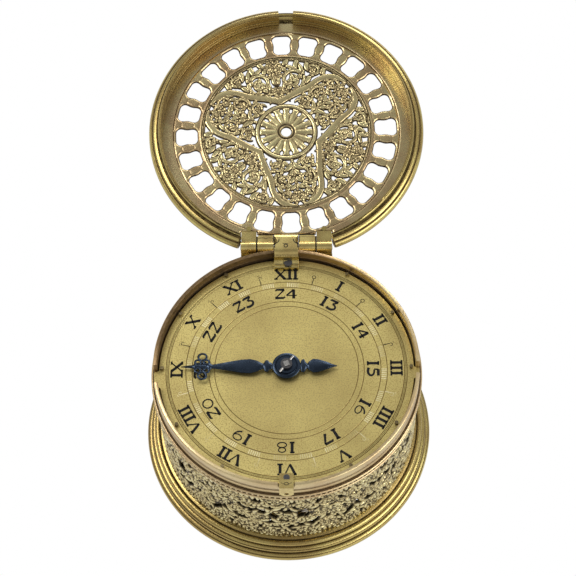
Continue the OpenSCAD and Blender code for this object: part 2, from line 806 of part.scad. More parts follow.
module catch_tongue() {
    w = 1.55;
    y = neck_r + gap;
    top = z_neck - 0.02;
    color("tan") difference() {
        union() {
            box(-w, w, -neck_in + 0.15, -catch_y + 1.1, dial_z, dial_z + 0.5);
            box(-w, w, -neck_in + 0.15, -neck_in + 0.6, dial_z, top);
            box(-w, w, -y - 0.5, -neck_in + 0.6, top - 0.5, top);
            box(-w, w, -y - 0.5, -y, z_ledge + 0.9, top);
            translate([0, -y - 0.5, z_ledge + 1.65]) rotate([-90, 0, 0]) cylinder(r = w, h = 0.5);
        }
        at([0, -catch_y]) rod(0.4, dial_z - cut, dial_z + cut);
        translate([0, -y - cut, z_ledge + 1.3]) rotate([-90, 0, 0]) cylinder(r = 0.5, h = 2);
        box(-w - cut, w + cut, -y - cut, -neck_r, z_ledge - 3, z_ledge + 0.1);
    }
}

// Going train

module going_great_wheel() {
    color("gray") at(great) union() {
        between() difference() {
            wheel(great_n, going_m, 0, core_r + run, 5.4, going_wheel_z.x, going_wheel_z.y);
            at(polar(click_r, 200)) rod(0.4, 0, plate_gap);
        }
        difference() {
            union() {
                rod(pipe_r, back_z1 + going_wheel_z.y, front_z1 + 1.4);
                bore_pinion(report_n, report_m, 0, front_z1 + 0.2, front_z1 + 1);
            }
            rod(core_r + run, back_z1, front_z1 + 4);
        }
    }
}

// Ratchet with straight backs, cut so that the click holds it one way
module ratchet(z) {
    slab(z.x, z.y) polygon([for (i = [0:ratchet_n - 1]) each
        [polar(ratchet_r - 0.45, i * 360 / ratchet_n), polar(ratchet_r, (i + 0.9) * 360 / ratchet_n)]]);
}

module square_end(z0, z1) {
    translate([0, 0, (z0 + z1) / 2]) cube([square_w, square_w, abs(z1 - z0)], center = true);
}

module going_arbor() {
    color("silver") at(great) union() {
        between() {
            rod(drum_r, 0.15, going_ratchet_z.x);
            ratchet(going_ratchet_z);
            rod(core_r, going_ratchet_z.x, plate_gap + plate_t + 1.2);
            rod(back_pivot_r, -plate_t, 0.2);
        }
        outside() {
            rod(back_pivot_r - 0.05, 0, -1.3);
            bore_pinion(cam_leaf_n, going_m, 0, -0.2, -1.3);
            square_end(-1.3, -3.8);
        }
    }
}

// Click: pawl on a pin, its nose just clear of the ratchet
module click(z, pin_z) {
    a = 200;
    union() {
        slab(z.x, z.y) difference() {
            union() {
                at(polar(click_r, a)) circle(0.65);
                polygon([polar(click_r - 0.55, a - 3), polar(click_r + 0.5, a - 8),
                    polar(ratchet_r + 0.55, a - 33), polar(ratchet_r + 0.05, a - 35)]);
            }
            circle(ratchet_r + 0.04);
        }
        at(polar(click_r, a)) rod(0.4 - run, pin_z.x, pin_z.y);
    }
}
module going_click() {
    color("dimgray") at(great) between() click(going_ratchet_z, [going_wheel_z.x - 0.1, going_wheel_z.y]);
}

module second_wheel() {
    color("gray") at(second) between() union() {
        wheel(second_n, second_m, second_a, 0, 1.4, second_wheel_z.x, second_wheel_z.y);
        bore_pinion(leaf_n, going_m, second_a, going_wheel_z.x - 0.2, going_wheel_z.y + 0.2);
        rod(arbor_r, 0.1, plate_gap - 0.1);
        rod(pivot_r, -plate_t, plate_gap + plate_t);
    }
}

module contrate_wheel() {
    z1 = contrate_z.y;
    r1 = contrate_r + 0.6;
    r0 = contrate_r - 0.6;
    color("gray") at(contrate) between() union() {
        slab(contrate_z.x, contrate_z.x + 0.5) difference() {
            circle(r1);
            difference() {
                circle(r0);
                circle(1.3);
                for (k = [0:1]) rotate(k * 90) square([2 * r0, 0.9], center = true);
            }
        }
        ring(r1, r0, contrate_z.x, z1);
        for (i = [0:contrate_n - 1]) rotate(contrate_a + i * 360 / contrate_n) slab(z1 - 0.2, z1 + 0.75)
            polygon([[r0 + 0.1, -0.17], [r1 - 0.1, -0.2], [r1 - 0.1, 0.2], [r0 + 0.1, 0.17]]);
        bore_pinion(leaf_n, second_m, contrate_a, second_wheel_z.x - 0.1, second_wheel_z.y + 0.2);
        rod(arbor_r, 0.1, plate_gap - 0.1);
        rod(pivot_r, -plate_t, plate_gap + plate_t);
    }
}

module crown_wheel() {
    lead = -contrate_a * contrate_n / 360;
    pinion_a = (0.5 - lead) * 360 / leaf_n;
    x = verge_at.x - contrate.x;
    face = x - crown_reach;
    color("gray") at(contrate) between() translate([0, 0, crown_z]) rotate([0, 90, 0])
        union() {
            bore_pinion(leaf_n, crown_m, pinion_a, contrate_r - 0.9, contrate_r + 0.9);
            rod(arbor_r, 4.4, face - 1.4);
            rod(pivot_r, x - 8.5, x - 0.95);
            rod(crown_r, face - 1.6, face - 0.9);
            difference() {
                rod(crown_r, face - 1.6, face - 0.5);
                rod(crown_r - 0.5, face - 0.9, face + cut);
            }
            for (i = [0:crown_n - 1]) rotate(i * 360 / crown_n) translate([crown_r - 0.48, 0, face - 0.5])
                rotate([90, 0, 90]) linear_extrude(0.44) polygon([[-0.42, -0.1], [0.42, -0.1], [0.4, 0.5]]);
        }
}

module verge() {
    color("silver") at(verge_at) union() {
        between() {
            rod(0.4, -plate_t - 3, 6.1);
            rod(pivot_r, 6, 7);
            for (s = [-1, 1]) translate([0, 0, crown_z + s * 2.35]) rotate([0, 0, 180 + s * 50])
                translate([0, -0.15, -0.45]) cube([flag_l, 0.3, 0.9]);
        }
        outside() rod(pivot_r, 0, cock_z.y);
    }
}

module foliot() {
    color("slategray") at(verge_at) outside() union() {
        slab(foliot_z.x, foliot_z.y) difference() {
            union() {
                square([2 * foliot_l, 0.9], center = true);
                circle(1.2);
                for (s = [-1, 1]) translate([s * foliot_l, 0]) circle(0.9);
            }
            circle(0.4);
        }
    }
}

module stackfreed_cam() {
    color("gray") at(cam_at) outside() difference() {
        union() {
            slab(cam_wheel_z.x, cam_wheel_z.y) polygon(teeth(cam_n, going_m, cam_a));
            slab(cam_z.x, cam_z.y) polygon(snail(cam_low, cam_high, 114, 40));
        }
        rod(0.8 + run, cut, -4);
    }
}

// Bent spring bar that presses the roller on the cam
module stackfreed_spring() {
    tip = roller_at;
    bend = polar(19.6, 146);
    color("slategray") outside() difference() {
        union() {
            at(stackfreed_foot) rod(1.3, 0, -3.2);
            slab(-2.35, -3.2) intersection() {
                difference() {
                    circle(20.1);
                    circle(19);
                }
                polygon([[0, 0], polar(30, 97), polar(36, 120), polar(30, 147)]);
            }
            bar(bend, tip, 1.1, -2.35, -3.2);
            at(tip) rod(0.9, -2.35, -3.2);
            at(tip) rod(0.45, -1.35, -3);
        }
        at(stackfreed_foot) rod(0.5, cut, -5);
    }
}

module stackfreed_roller() {
    color("silver") at(roller_at) outside() ring(roller_r, 0.45 + run, -1.4, -2.3);
}

module hour_wheel() {
    color("gray") difference() {
        union() {
            wheel(hour_n, report_m, hour_a, 0, 2.2, front_z1 + 0.2, front_z1 + 1, arm = 1.2, rim = 1.1);
            rod(centre_r, front_z1 + 0.05, dial_z + 2.35);
            rod(0.6, front_z0, front_z1 + 0.1);
        }
        cross_pin(6);
    }
}

// Outline of one half of the hand, from the hub to the tip, as distance and half width
hand_half = [[0.1, 0.5], [0.19, 0.42], [0.21, 0.9], [0.23, 0.45], [0.28, 0.8], [0.38, 1.15],
    [0.5, 1.0], [0.62, 0.7], [0.73, 0.45], [0.75, 1.1], [0.79, 1.25], [0.82, 0.7], [0.85, 0.42],
    [0.93, 0.25], [1, 0.08]];
tail_half = [[0.2, 0.5], [0.32, 0.42], [0.35, 0.95], [0.4, 0.5], [0.45, 1.2], [0.52, 1.5],
    [0.62, 1.2], [0.8, 0.6], [1, 0.08]];
module blade(half, l) {
    polygon(concat([for (p = half) [p.x * l, p.y]],
        [for (i = [len(half) - 1:-1:0]) [half[i].x * l, -half[i].y]]));
}
module hour_hand() {
    z1 = hand_z + hand_t;
    color("darkslategray") difference() {
        union() {
            rod(2.9, hand_z, z1);
            rotate([0, 0, 180]) slab(hand_z, z1) blade(hand_half, hand_l);
            slab(hand_z, z1) blade(tail_half, hand_tail);
        }
        rod(centre_r, hand_z - cut, z1 + cut);
    }
}

module hand_collar() {
    color("silver") ring(2.1, centre_r, hand_z + hand_t, hand_z + hand_t + 0.3);
}

module cross_pin(l) {
    translate([0, 0, hand_z + hand_t + 0.6]) rotate([0, 90, 52]) cylinder(r = 0.3, h = l, center = true);
}
module hand_pin() { color("silver") cross_pin(5); }

// Strike train

module strike_great_wheel() {
    color("gray") at(strike) union() {
        between() {
            difference() {
                wheel(great_n, going_m, 0, core_r + run, 5.4, strike_wheel_z.x, strike_wheel_z.y, rim = 1.9);
                at(polar(click_r, 200)) rod(0.4, 0, plate_gap);
            }
            for (i = [0:hammer_pin_n - 1]) at(polar(pin_ring_r, 10 + i * 360 / hammer_pin_n))
                rod(hammer_pin_r, strike_wheel_z.x + 0.2, strike_wheel_z.y + 1);
        }
        difference() {
            union() {
                rod(pipe_r, back_z0 - 1.1, back_z1 + strike_wheel_z.x);
                outside() bore_pinion(count_leaf_n, strike_m, 0, count_z.x, count_z.y);
            }
            rod(core_r + run, back_z0 - 4, back_z1 + 4);
        }
    }
}

module strike_arbor() {
    color("silver") at(strike) union() {
        between() {
            rod(core_r, -plate_t - 1.3, plate_gap + plate_t);
            rod(drum_r, strike_ratchet_z.x, plate_gap - 0.1);
            ratchet(strike_ratchet_z);
        }
        outside() square_end(-1.2, -3.8);
    }
}

module strike_click() {
    color("dimgray") at(strike) between() click(strike_ratchet_z, [strike_wheel_z.x, strike_ratchet_z.x + 0.1]);
}

module hoop_wheel() {
    z = hoop_wheel_z;
    color("gray") at(hoop) between() union() {
        wheel(hoop_n, strike_m, hoop_a, 0, 1.2, z.x, z.y, rim = 0.9);
        slab(z.x - 0.8, z.x) difference() {
            circle(4.9);
            circle(4.3);
            polygon([[0, 0], polar(8, 165), polar(8, 192)]);
        }
        bore_pinion(leaf_n, going_m, hoop_a, 0.5, 2.1);
        rod(arbor_r, 0.1, plate_gap - 0.1);
        rod(pivot_r, -plate_t, plate_gap + plate_t);
    }
}

module warning_wheel() {
    z = warning_wheel_z;
    color("gray") at(warning) between() union() {
        wheel(warning_n, warning_m, warning_a, 0, 1.1, z.x, z.y, rim = 0.8);
        bore_pinion(leaf_n, strike_m, warning_a, hoop_wheel_z.x - 0.1, hoop_wheel_z.y + 0.2);
        at(polar(4, 60)) rod(0.25, z.y, z.y + 0.9);
        rod(arbor_r, 0.1, plate_gap - 0.1);
        rod(pivot_r, -plate_t, plate_gap + plate_t);
    }
}

module fly() {
    color("gray") at(fly_at) between() union() {
        bore_pinion(leaf_n, warning_m, fly_a, warning_wheel_z.x - 0.2, warning_wheel_z.y + 0.2);
        slab(0.8, 3.6) square([4.8, 0.35], center = true);
        rod(arbor_r, 0.1, plate_gap - 0.1);
        rod(pivot_r, -plate_t, plate_gap + plate_t);
    }
}

// Notches of the locking disc stand 1, 2, 3 ... 12 blows apart, 78 in one turn
function blows(h) = h * (h + 1) / 2;
module count_wheel() {
    color("gray") at(count_at) outside() difference() {
        union() {
            wheel(count_n, strike_m, count_a, 0, 2.4, count_z.x, count_z.y, arm = 1.4, rim = 1.6);
            slab(lock_z.x + 0.1, lock_z.y) difference() {
                circle(count_lock_r);
                for (h = [1:12]) rotate(90 + 360 * blows(h) / 78)
                    translate([count_lock_r - 1.1, -0.45]) square([3, 0.9]);
                circle(4.6);
            }
            slab(lock_z.x + 0.1, lock_z.y) circle(1.6);
        }
        rod(0.8 + run, cut, -5);
    }
}

module count_lever() {
    foot = count_at + polar(count_lock_r + 0.15, 90);
    inner = hoop + polar(5.1, 187);
    color("slategray") union() {
        at(lever_at) between() rod(arbor_r, -plate_t - 1.95, plate_gap - 0.1);
        at(lever_at) between() rod(pivot_r, 0, plate_gap + plate_t);
        outside() bar(lever_at, foot, 0.8, lock_z.x, lock_z.y);
        between() bar(lever_at, inner, 0.8, 6.5, 7.1);
    }
}

module hammer() {
    tail = hammer_at + polar(2.95, 205);
    head = [bell_r - 3.2, 2.9];
    color("slategray") union() {
        at(hammer_at) between() rod(core_r, -plate_t + hammer_arm_z.y, plate_gap - 0.1);
        at(hammer_at) between() rod(pivot_r, 0, plate_gap + plate_t);
        between() bar(hammer_at, tail, 0.7, 2.1, 2.8);
        outside() bar(hammer_at, head, 1, hammer_arm_z.x, hammer_arm_z.y);
        outside() at(head) rod(0.9, hammer_arm_z.x, -6.6);
    }
}

echo(spring_gap = spring_gap);

base_ring();
base_plate();
case_band();
neck_ring();
bell();
bell_post();
bell_nut();
hinge_plate();
hinge_rivets();
hinge_pin();
lid_rim();
lid_grille();
lid_lugs();
lid_rivets();
dial_plate();
touch_pins();
dial_feet();
dial_foot_pins();
hinge_strap();
strap_screw();
front_plate();
pillars();
back_plate();
pillar_pins();
going_spring();
strike_spring();
spring_posts();
potence();
counter_potence();
foliot_cock();
plate_screws();
bristle_regulator();
hammer_spring();
catch_rivet();
catch_tongue();
going_great_wheel();
going_arbor();
going_click();
second_wheel();
contrate_wheel();
crown_wheel();
verge();
foliot();
stackfreed_cam();
stackfreed_spring();
stackfreed_roller();
hour_wheel();
hour_hand();
hand_collar();
hand_pin();
strike_great_wheel();
strike_arbor();
strike_click();
hoop_wheel();
warning_wheel();
fly();
count_wheel();
count_lever();
hammer();
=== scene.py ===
import math
import bmesh
import bpy
import numpy as np
from mathutils import Matrix, Vector


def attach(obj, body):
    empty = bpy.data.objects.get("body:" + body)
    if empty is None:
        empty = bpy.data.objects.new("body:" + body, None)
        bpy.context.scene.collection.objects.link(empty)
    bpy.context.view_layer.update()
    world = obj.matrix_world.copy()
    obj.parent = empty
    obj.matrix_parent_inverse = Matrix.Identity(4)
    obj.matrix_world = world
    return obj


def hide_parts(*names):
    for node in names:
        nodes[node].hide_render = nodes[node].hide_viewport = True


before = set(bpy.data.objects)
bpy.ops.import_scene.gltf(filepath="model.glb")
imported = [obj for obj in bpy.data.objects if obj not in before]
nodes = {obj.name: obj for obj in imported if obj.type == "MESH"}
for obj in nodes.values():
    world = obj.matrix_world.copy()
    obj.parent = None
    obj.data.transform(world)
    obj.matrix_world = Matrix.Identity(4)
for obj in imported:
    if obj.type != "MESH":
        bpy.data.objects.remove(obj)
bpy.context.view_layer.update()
scene = bpy.context.scene
mm = 0.001
print("frame loaded:", len(nodes), "nodes")

# camera: place in mm, focal length in pixels, angles in radians
view = {"focal": 1656.7, "pixels": 576, "sensor": 36, "place": (5.42, -174.0, 361.5),
        "down": 1.037, "turn": -0.026, "roll": -0.031}


def addCamera(v):
    # looks along (sin turn cos down, cos turn cos down, -sin down), then rolls about that line
    fwd = Vector((math.sin(v["turn"]) * math.cos(v["down"]), math.cos(v["turn"]) * math.cos(v["down"]),
                  -math.sin(v["down"])))
    right = Vector((math.cos(v["turn"]), -math.sin(v["turn"]), 0))
    up = right.cross(fwd)
    r = right * math.cos(v["roll"]) + up * math.sin(v["roll"])
    u = up * math.cos(v["roll"]) - right * math.sin(v["roll"])
    cam = bpy.data.objects.new("camera", bpy.data.cameras.new("camera"))
    scene.collection.objects.link(cam)
    cam.data.sensor_width = v["sensor"]
    cam.data.lens = v["focal"] / v["pixels"] * v["sensor"]
    cam.data.clip_start = 0.01
    axes = Matrix((r, u, -fwd)).transposed().to_4x4()
    cam.matrix_world = Matrix.Translation(Vector(v["place"]) * mm) @ axes
    scene.camera = cam


addCamera(view)
scene.view_settings.view_transform = "Standard"

# lamps are (place, size, watts) and look at one aim; the sky is (height, brightness) upwards
studio = {"aim": (0, 0, 0.02), "world": 1.0, "paper": 0.9, "floorHalf": 3, "floorDrop": 0.0002,
          "lamps": {"keyLamp": ((-0.27, 0.12, 0.42), (0.22, 0.22), 0.95),
                    "fillLamp": ((0.35, -0.10, 0.30), (0.30, 0.30), 1.3),
                    "frontLamp": ((0.30, -0.40, 0.22), (0.30, 0.22), 0.5),
                    "rimLamp": ((0.10, 0.42, 0.25), (0.35, 0.12), 0.8)},
          "sky": [(0.0, 0.95), (0.12, 0.95), (0.24, 0.28), (0.42, 0.22), (0.55, 0.75), (0.86, 0.7),
                  (0.97, 0.35)]}


def addLamps(v):
    # each lamp is a rectangle square to the line from its place to the aim
    for name, (place, size, power) in v["lamps"].items():
        lamp = bpy.data.lights.new(name, "AREA")
        lamp.shape = "RECTANGLE"
        lamp.size, lamp.size_y = size
        lamp.energy = power
        o = bpy.data.objects.new(name, lamp)
        o.location = place
        o.rotation_euler = (Vector(v["aim"]) - Vector(place)).to_track_quat("-Z", "Y").to_euler()
        scene.collection.objects.link(o)


def nodeKit(tree):
    # small helpers that add a node and link its inputs
    def add(kind, **values):
        n = tree.nodes.new(kind)
        for key, value in values.items():
            setattr(n, key, value)
        return n

    def link(a, b):
        tree.links.new(a, b)

    return add, link


def addWorld(v):
    # brightness is a ramp over the ray's height: white at the horizon, cards and softboxes above;
    # the camera itself sees plain white
    world = bpy.data.worlds.new("studio")
    scene.world = world
    world.use_nodes = True
    world.node_tree.nodes.clear()
    add, link = nodeKit(world.node_tree)
    path = add("ShaderNodeLightPath")
    place = add("ShaderNodeTexCoord")
    split = add("ShaderNodeSeparateXYZ")
    link(place.outputs["Generated"], split.inputs[0])
    sky = add("ShaderNodeValToRGB")
    while len(sky.color_ramp.elements) < len(v["sky"]):
        sky.color_ramp.elements.new(0.5)
    for e, (height, tone) in zip(sky.color_ramp.elements, v["sky"]):
        e.position = height
        e.color = (tone, tone, tone, 1)
    link(split.outputs["Z"], sky.inputs[0])
    soft = add("ShaderNodeBackground")
    link(sky.outputs[0], soft.inputs["Color"])
    soft.inputs["Strength"].default_value = v["world"]
    white = add("ShaderNodeBackground")
    white.inputs["Color"].default_value = (1, 1, 1, 1)
    white.inputs["Strength"].default_value = 1.0
    mix = add("ShaderNodeMixShader")
    out = add("ShaderNodeOutputWorld")
    link(path.outputs["Is Camera Ray"], mix.inputs[0])
    link(soft.outputs[0], mix.inputs[1])
    link(white.outputs[0], mix.inputs[2])
    link(mix.outputs[0], out.inputs[0])


def addFloor(v):
    # white paper that glows for the camera and for reflections, and catches the rest of the light plainly
    m = bpy.data.materials.new("floor")
    m.use_nodes = True
    m.node_tree.nodes.clear()
    add, link = nodeKit(m.node_tree)
    path = add("ShaderNodeLightPath")
    paper = add("ShaderNodeBsdfDiffuse")
    paper.inputs["Color"].default_value = (v["paper"], v["paper"], v["paper"], 1)
    glow = add("ShaderNodeEmission")
    glow.inputs["Strength"].default_value = 1.0
    mix = add("ShaderNodeMixShader")
    out = add("ShaderNodeOutputMaterial")
    seen = add("ShaderNodeMath", operation="MAXIMUM")
    link(path.outputs["Is Camera Ray"], seen.inputs[0])
    link(path.outputs["Is Glossy Ray"], seen.inputs[1])
    link(seen.outputs[0], mix.inputs[0])
    link(paper.outputs[0], mix.inputs[1])
    link(glow.outputs[0], mix.inputs[2])
    link(mix.outputs[0], out.inputs[0])
    me = bpy.data.meshes.new("floor")
    h = v["floorHalf"]
    me.from_pydata([(-h, -h, 0), (h, -h, 0), (h, h, 0), (-h, h, 0)], [], [(0, 1, 2, 3)])
    me.materials.append(m)
    o = bpy.data.objects.new("floor", me)
    o.location.z = -v["floorDrop"]
    scene.collection.objects.link(o)


addLamps(studio)
addWorld(studio)
addFloor(studio)
print("camera, lamps and floor ready")

# finishes: color is the clean metal, tarnish its clouds and light painted shade, dark the dirt and deeper
# painted shade on the mesh; cloud is the clouds' scale, wear and speck are how much of the tarnish shows in
# them and in the grain
finishes = {
    "giltMoulding": {"color": (0.515, 0.43, 0.155), "tarnishAndShade": (0.31, 0.21, 0.075),
                     "dark": (0.025, 0.016, 0.006), "rough": 0.27, "wear": 0.75, "cloud": 110, "speck": 0.25},
    "giltPierced": {"color": (0.72, 0.66, 0.36), "tarnishAndShade": (0.42, 0.32, 0.15), "dark": (0.016, 0.012, 0.006),
                    "rough": 0.21, "wear": 0.5, "cloud": 160, "speck": 0.4},
    "giltLid": {"color": (0.55, 0.47, 0.24), "tarnishAndShade": (0.38, 0.26, 0.14), "dark": (0.014, 0.01, 0.006),
                "rough": 0.27, "wear": 0.8, "cloud": 150, "speck": 0.7},
    "giltRoundel": {"color": (0.70, 0.64, 0.33), "tarnishAndShade": (0.44, 0.33, 0.17), "dark": (0.014, 0.01, 0.006),
                    "rough": 0.24, "wear": 0.6, "cloud": 150, "speck": 0.35},
    "giltNeck": {"color": (0.60, 0.49, 0.27), "tarnishAndShade": (0.38, 0.24, 0.12), "dark": (0.03, 0.02, 0.01),
                 "rough": 0.34, "wear": 0.5, "cloud": 110, "speck": 0.2},
    "giltDial": {"color": (0.59, 0.49, 0.185), "tarnishAndShade": (0.27, 0.19, 0.07), "dark": (0.05, 0.03, 0.012),
                 "rough": 0.4, "wear": 0.45, "cloud": 70, "speck": 0.6, "grain": 0.35},
    "giltStrap": {"color": (0.64, 0.52, 0.20), "tarnishAndShade": (0.30, 0.19, 0.07), "dark": (0.03, 0.02, 0.008),
                  "rough": 0.24, "wear": 0.6, "cloud": 260, "speck": 0.3},
    "giltPlate": {"color": (0.50, 0.39, 0.15), "tarnishAndShade": (0.32, 0.2, 0.08), "dark": (0.05, 0.03, 0.012),
                  "rough": 0.3, "wear": 0.45, "cloud": 130, "speck": 0.3},
    "ironSteel": {"color": (0.36, 0.355, 0.34), "tarnishAndShade": (0.17, 0.15, 0.13), "dark": (0.03, 0.025, 0.02),
                  "rough": 0.3, "wear": 0.5, "cloud": 150, "speck": 0.3},
    "bluedSteel": {"color": (0.035, 0.05, 0.075), "tarnishAndShade": (0.012, 0.016, 0.02),
                   "dark": (0.008, 0.008, 0.008), "rough": 0.26, "wear": 0.5, "cloud": 150, "speck": 0.2},
    "blackWaxAndShade": {"color": (0.006, 0.006, 0.007), "tarnishAndShade": (0.016, 0.014, 0.01),
                 "dark": (0.005, 0.005, 0.005), "rough": 0.75, "specular": 0.15, "wear": 0.4, "cloud": 400,
                 "speck": 0.3, "metallic": 0.0},
    "darkIron": {"color": (0.09, 0.09, 0.095), "tarnishAndShade": (0.05, 0.042, 0.035), "dark": (0.02, 0.018, 0.015),
                 "rough": 0.36, "wear": 0.5, "cloud": 150, "speck": 0.3},
    "brightCut": {"color": (0.80, 0.74, 0.48), "tarnishAndShade": (0.42, 0.34, 0.14), "dark": (0.1, 0.07, 0.03),
                  "rough": 0.42, "wear": 0.9, "cloud": 150, "speck": 0.4},
    "brownCut": {"color": (0.30, 0.24, 0.12), "tarnishAndShade": (0.07, 0.05, 0.025), "dark": (0.02, 0.015, 0.01),
                 "rough": 0.4, "wear": 1.0, "cloud": 120, "speck": 0.5},
    "bellMetal": {"color": (0.45, 0.36, 0.2), "tarnishAndShade": (0.24, 0.16, 0.08), "dark": (0.04, 0.03, 0.015),
                  "rough": 0.3, "wear": 0.5, "cloud": 90, "speck": 0.3},
}
texture = {"grain": 3200, "patch": 900, "bump": 0.25, "depth": 0.00006}  # scales and relief of the grain


def metal(name, f):
    # tarnish clouds over the clean colour, dirt and painted shade where the mesh carries them, and a fine
    # stippled grain
    m = bpy.data.materials.new(name)
    m.use_nodes = True
    add, link = nodeKit(m.node_tree)
    s = m.node_tree.nodes["Principled BSDF"]
    s.inputs["Metallic"].default_value = f.get("metallic", 1.0)
    s.inputs["Specular IOR Level"].default_value = f.get("specular", 0.5)
    place = add("ShaderNodeTexCoord")

    def noise(scale, detail):
        n = add("ShaderNodeTexNoise")
        n.inputs["Scale"].default_value = scale
        n.inputs["Detail"].default_value = detail
        link(place.outputs["Object"], n.inputs["Vector"])
        return n.outputs["Fac"]

    def spread(value, low, high, a, b):
        n = add("ShaderNodeMapRange")
        for key, x in (("From Min", low), ("From Max", high), ("To Min", a), ("To Max", b)):
            n.inputs[key].default_value = x
        link(value, n.inputs["Value"])
        return n.outputs["Result"]

    def blend(amount, a, b):
        n = add("ShaderNodeMix", data_type="RGBA")
        link(amount, n.inputs["Factor"])
        for key, x in (("A", a), ("B", b)):
            if isinstance(x, tuple):
                n.inputs[key].default_value = (*x, 1)
            else:
                link(x, n.inputs[key])
        return n.outputs["Result"]

    grain = noise(texture["grain"], 2)
    tone = blend(spread(noise(f["cloud"], 5), 0.38, 0.66, 0, f["wear"]), f["color"], f["tarnishAndShade"])
    tone = blend(spread(grain, 0.48, 0.62, 0, f["speck"]), tone, f["tarnishAndShade"])
    # dirt and painted shade from the mesh tint the colour towards tarnish, and the deeper values towards dark
    soilAndShade = add("ShaderNodeAttribute", attribute_name="soilAndShade")
    tone = blend(spread(soilAndShade.outputs["Fac"], 0.05, 0.35, 0, 0.85), tone, f["tarnishAndShade"])
    patch = spread(noise(texture["patch"], 3), 0.3, 0.7, 0.8, 1.0)
    darkShare = add("ShaderNodeMath", operation="MULTIPLY")
    link(spread(soilAndShade.outputs["Fac"], 0.3, 0.7, 0, 1), darkShare.inputs[0])
    link(patch, darkShare.inputs[1])
    link(blend(darkShare.outputs[0], tone, f["dark"]), s.inputs["Base Color"])
    rough = add("ShaderNodeMath", operation="ADD")
    link(spread(grain, 0.3, 0.7, f["rough"] * 0.8, f["rough"] * 1.3), rough.inputs[0])
    link(spread(darkShare.outputs[0], 0, 1, 0, 0.35), rough.inputs[1])
    link(rough.outputs[0], s.inputs["Roughness"])
    bump = add("ShaderNodeBump")
    bump.inputs["Strength"].default_value = f.get("grain", texture["bump"])
    bump.inputs["Distance"].default_value = texture["depth"]
    link(grain, bump.inputs["Height"])
    link(bump.outputs["Normal"], s.inputs["Normal"])
    return m


mats = {name: metal(name, f) for name, f in finishes.items()}

slotFinish = {"gilt_moulding": "giltMoulding", "gilt_pierced": "giltPierced", "gilt_neck": "giltNeck",
              "gilt_dial": "giltDial", "gilt_plate": "giltPlate", "steel": "ironSteel",
              "blued_steel": "bluedSteel", "bell_metal": "bellMetal"}
ownFinish = {"hand_collar": "bluedSteel", "hour_wheel": "darkIron", "lid_lugs": "giltStrap",
             "hinge_plate": "giltStrap", "catch_tongue": "giltStrap", "strap_screw": "darkIron",
             "catch_rivet": "darkIron", "touch_pins": "brownCut"}
for name, obj in nodes.items():
    finish = ownFinish.get(name, slotFinish[obj.data.materials[0].name])
    obj.data.materials.clear()
    obj.data.materials.append(mats[finish])
print("finishes ready:", len(mats))

# lid and case sizes in mm, as the solids have them
size = {"hingeY": 31.4, "hingeZ": 32.55, "lidOpen": 171.5, "lidZ": 34.35, "lidPlate": 1.0, "lidTop": 36.0,
        "ledge": 29.95, "neckTop": 34.25, "collar": 27.7, "band": 5.3, "dial": 31.6, "caseR": 30.0}


def openLid(co):
    # turns points of the shut lid about the hinge line, which runs along X
    a = -math.radians(size["lidOpen"])
    y, z = co[:, 1] - size["hingeY"], co[:, 2] - size["hingeZ"]
    return np.stack([co[:, 0], size["hingeY"] + y * math.cos(a) - z * math.sin(a),
                     size["hingeZ"] + y * math.sin(a) + z * math.cos(a)], 1)


def quadMesh(name, co, quads, soilAndShade=None):
    # co in mm; winding is turned over if the signed volume comes out negative
    a, b, c, d = (co[quads[:, k]] for k in range(4))
    volume = np.einsum("ij,ij->i", a, np.cross(b, c)).sum() + np.einsum("ij,ij->i", a, np.cross(c, d)).sum()
    if volume < 0:
        quads = quads[:, ::-1]
    me = bpy.data.meshes.new(name)
    me.vertices.add(len(co))
    me.vertices.foreach_set("co", (co * mm).astype(np.float32).ravel())
    me.loops.add(quads.size)
    me.loops.foreach_set("vertex_index", quads.astype(np.int32).ravel())
    me.polygons.add(len(quads))
    me.polygons.foreach_set("loop_start", np.arange(0, quads.size, 4, dtype=np.int32))
    me.polygons.foreach_set("use_smooth", np.ones(len(quads), bool))
    me.update(calc_edges=True)
    me.validate()
    me.set_sharp_from_angle(angle=math.radians(40))
    if soilAndShade is not None:
        layer = me.attributes.new("soilAndShade", "FLOAT", "POINT")
        layer.data.foreach_set("value", soilAndShade.astype(np.float32))
    return me


def addPiece(name, me, finish, body, slotName, *hidden):
    # a new object with its finish and body, in place of the hidden nodes; slotName is not used
    o = bpy.data.objects.new(name, me)
    me.materials.append(mats[finish])
    scene.collection.objects.link(o)
    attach(o, body)
    if hidden:
        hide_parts(*hidden)


def loopQuads(rows, cols, closeRows=True, closeCols=True):
    # quads over a grid of rows x cols points, joined round either way
    r = np.arange(rows if closeRows else rows - 1)
    c = np.arange(cols if closeCols else cols - 1)
    r, c = np.meshgrid(r, c, indexing="ij")
    r2, c2 = (r + 1) % rows, (c + 1) % cols
    return np.stack([r * cols + c, r2 * cols + c, r2 * cols + c2, r * cols + c2], -1).reshape(-1, 4)


def bow(cx, cy, rx, ry, a0, a1, n=14):
    # (cx + rx cos t, cy + ry sin t) for n even steps of t from a0 to a1 degrees
    t = np.radians(np.linspace(a0, a1, n))
    return np.stack([cx + rx * np.cos(t), cy + ry * np.sin(t)], 1)


def arcPath(cx, cy, r, a0, a1, n):
    # the same on a circle
    return bow(cx, cy, r, r, a0, a1, n)


def creases(profile):
    # dirt and painted shade in the creases: 1 where a closed profile turns inwards, fading over its
    # neighbours
    back = profile - np.roll(profile, 1, 0)
    on = np.roll(profile, -1, 0) - profile
    turn = np.arctan2(back[:, 0] * on[:, 1] - back[:, 1] * on[:, 0], (back * on).sum(1))
    area = (profile[:, 0] * np.roll(profile[:, 1], -1) - np.roll(profile[:, 0], -1) * profile[:, 1]).sum()
    inward = np.clip(-turn * np.sign(area), 0, 0.7) / 0.7
    return np.maximum(inward, 0.3 * (np.roll(inward, 1) + np.roll(inward, -1)))


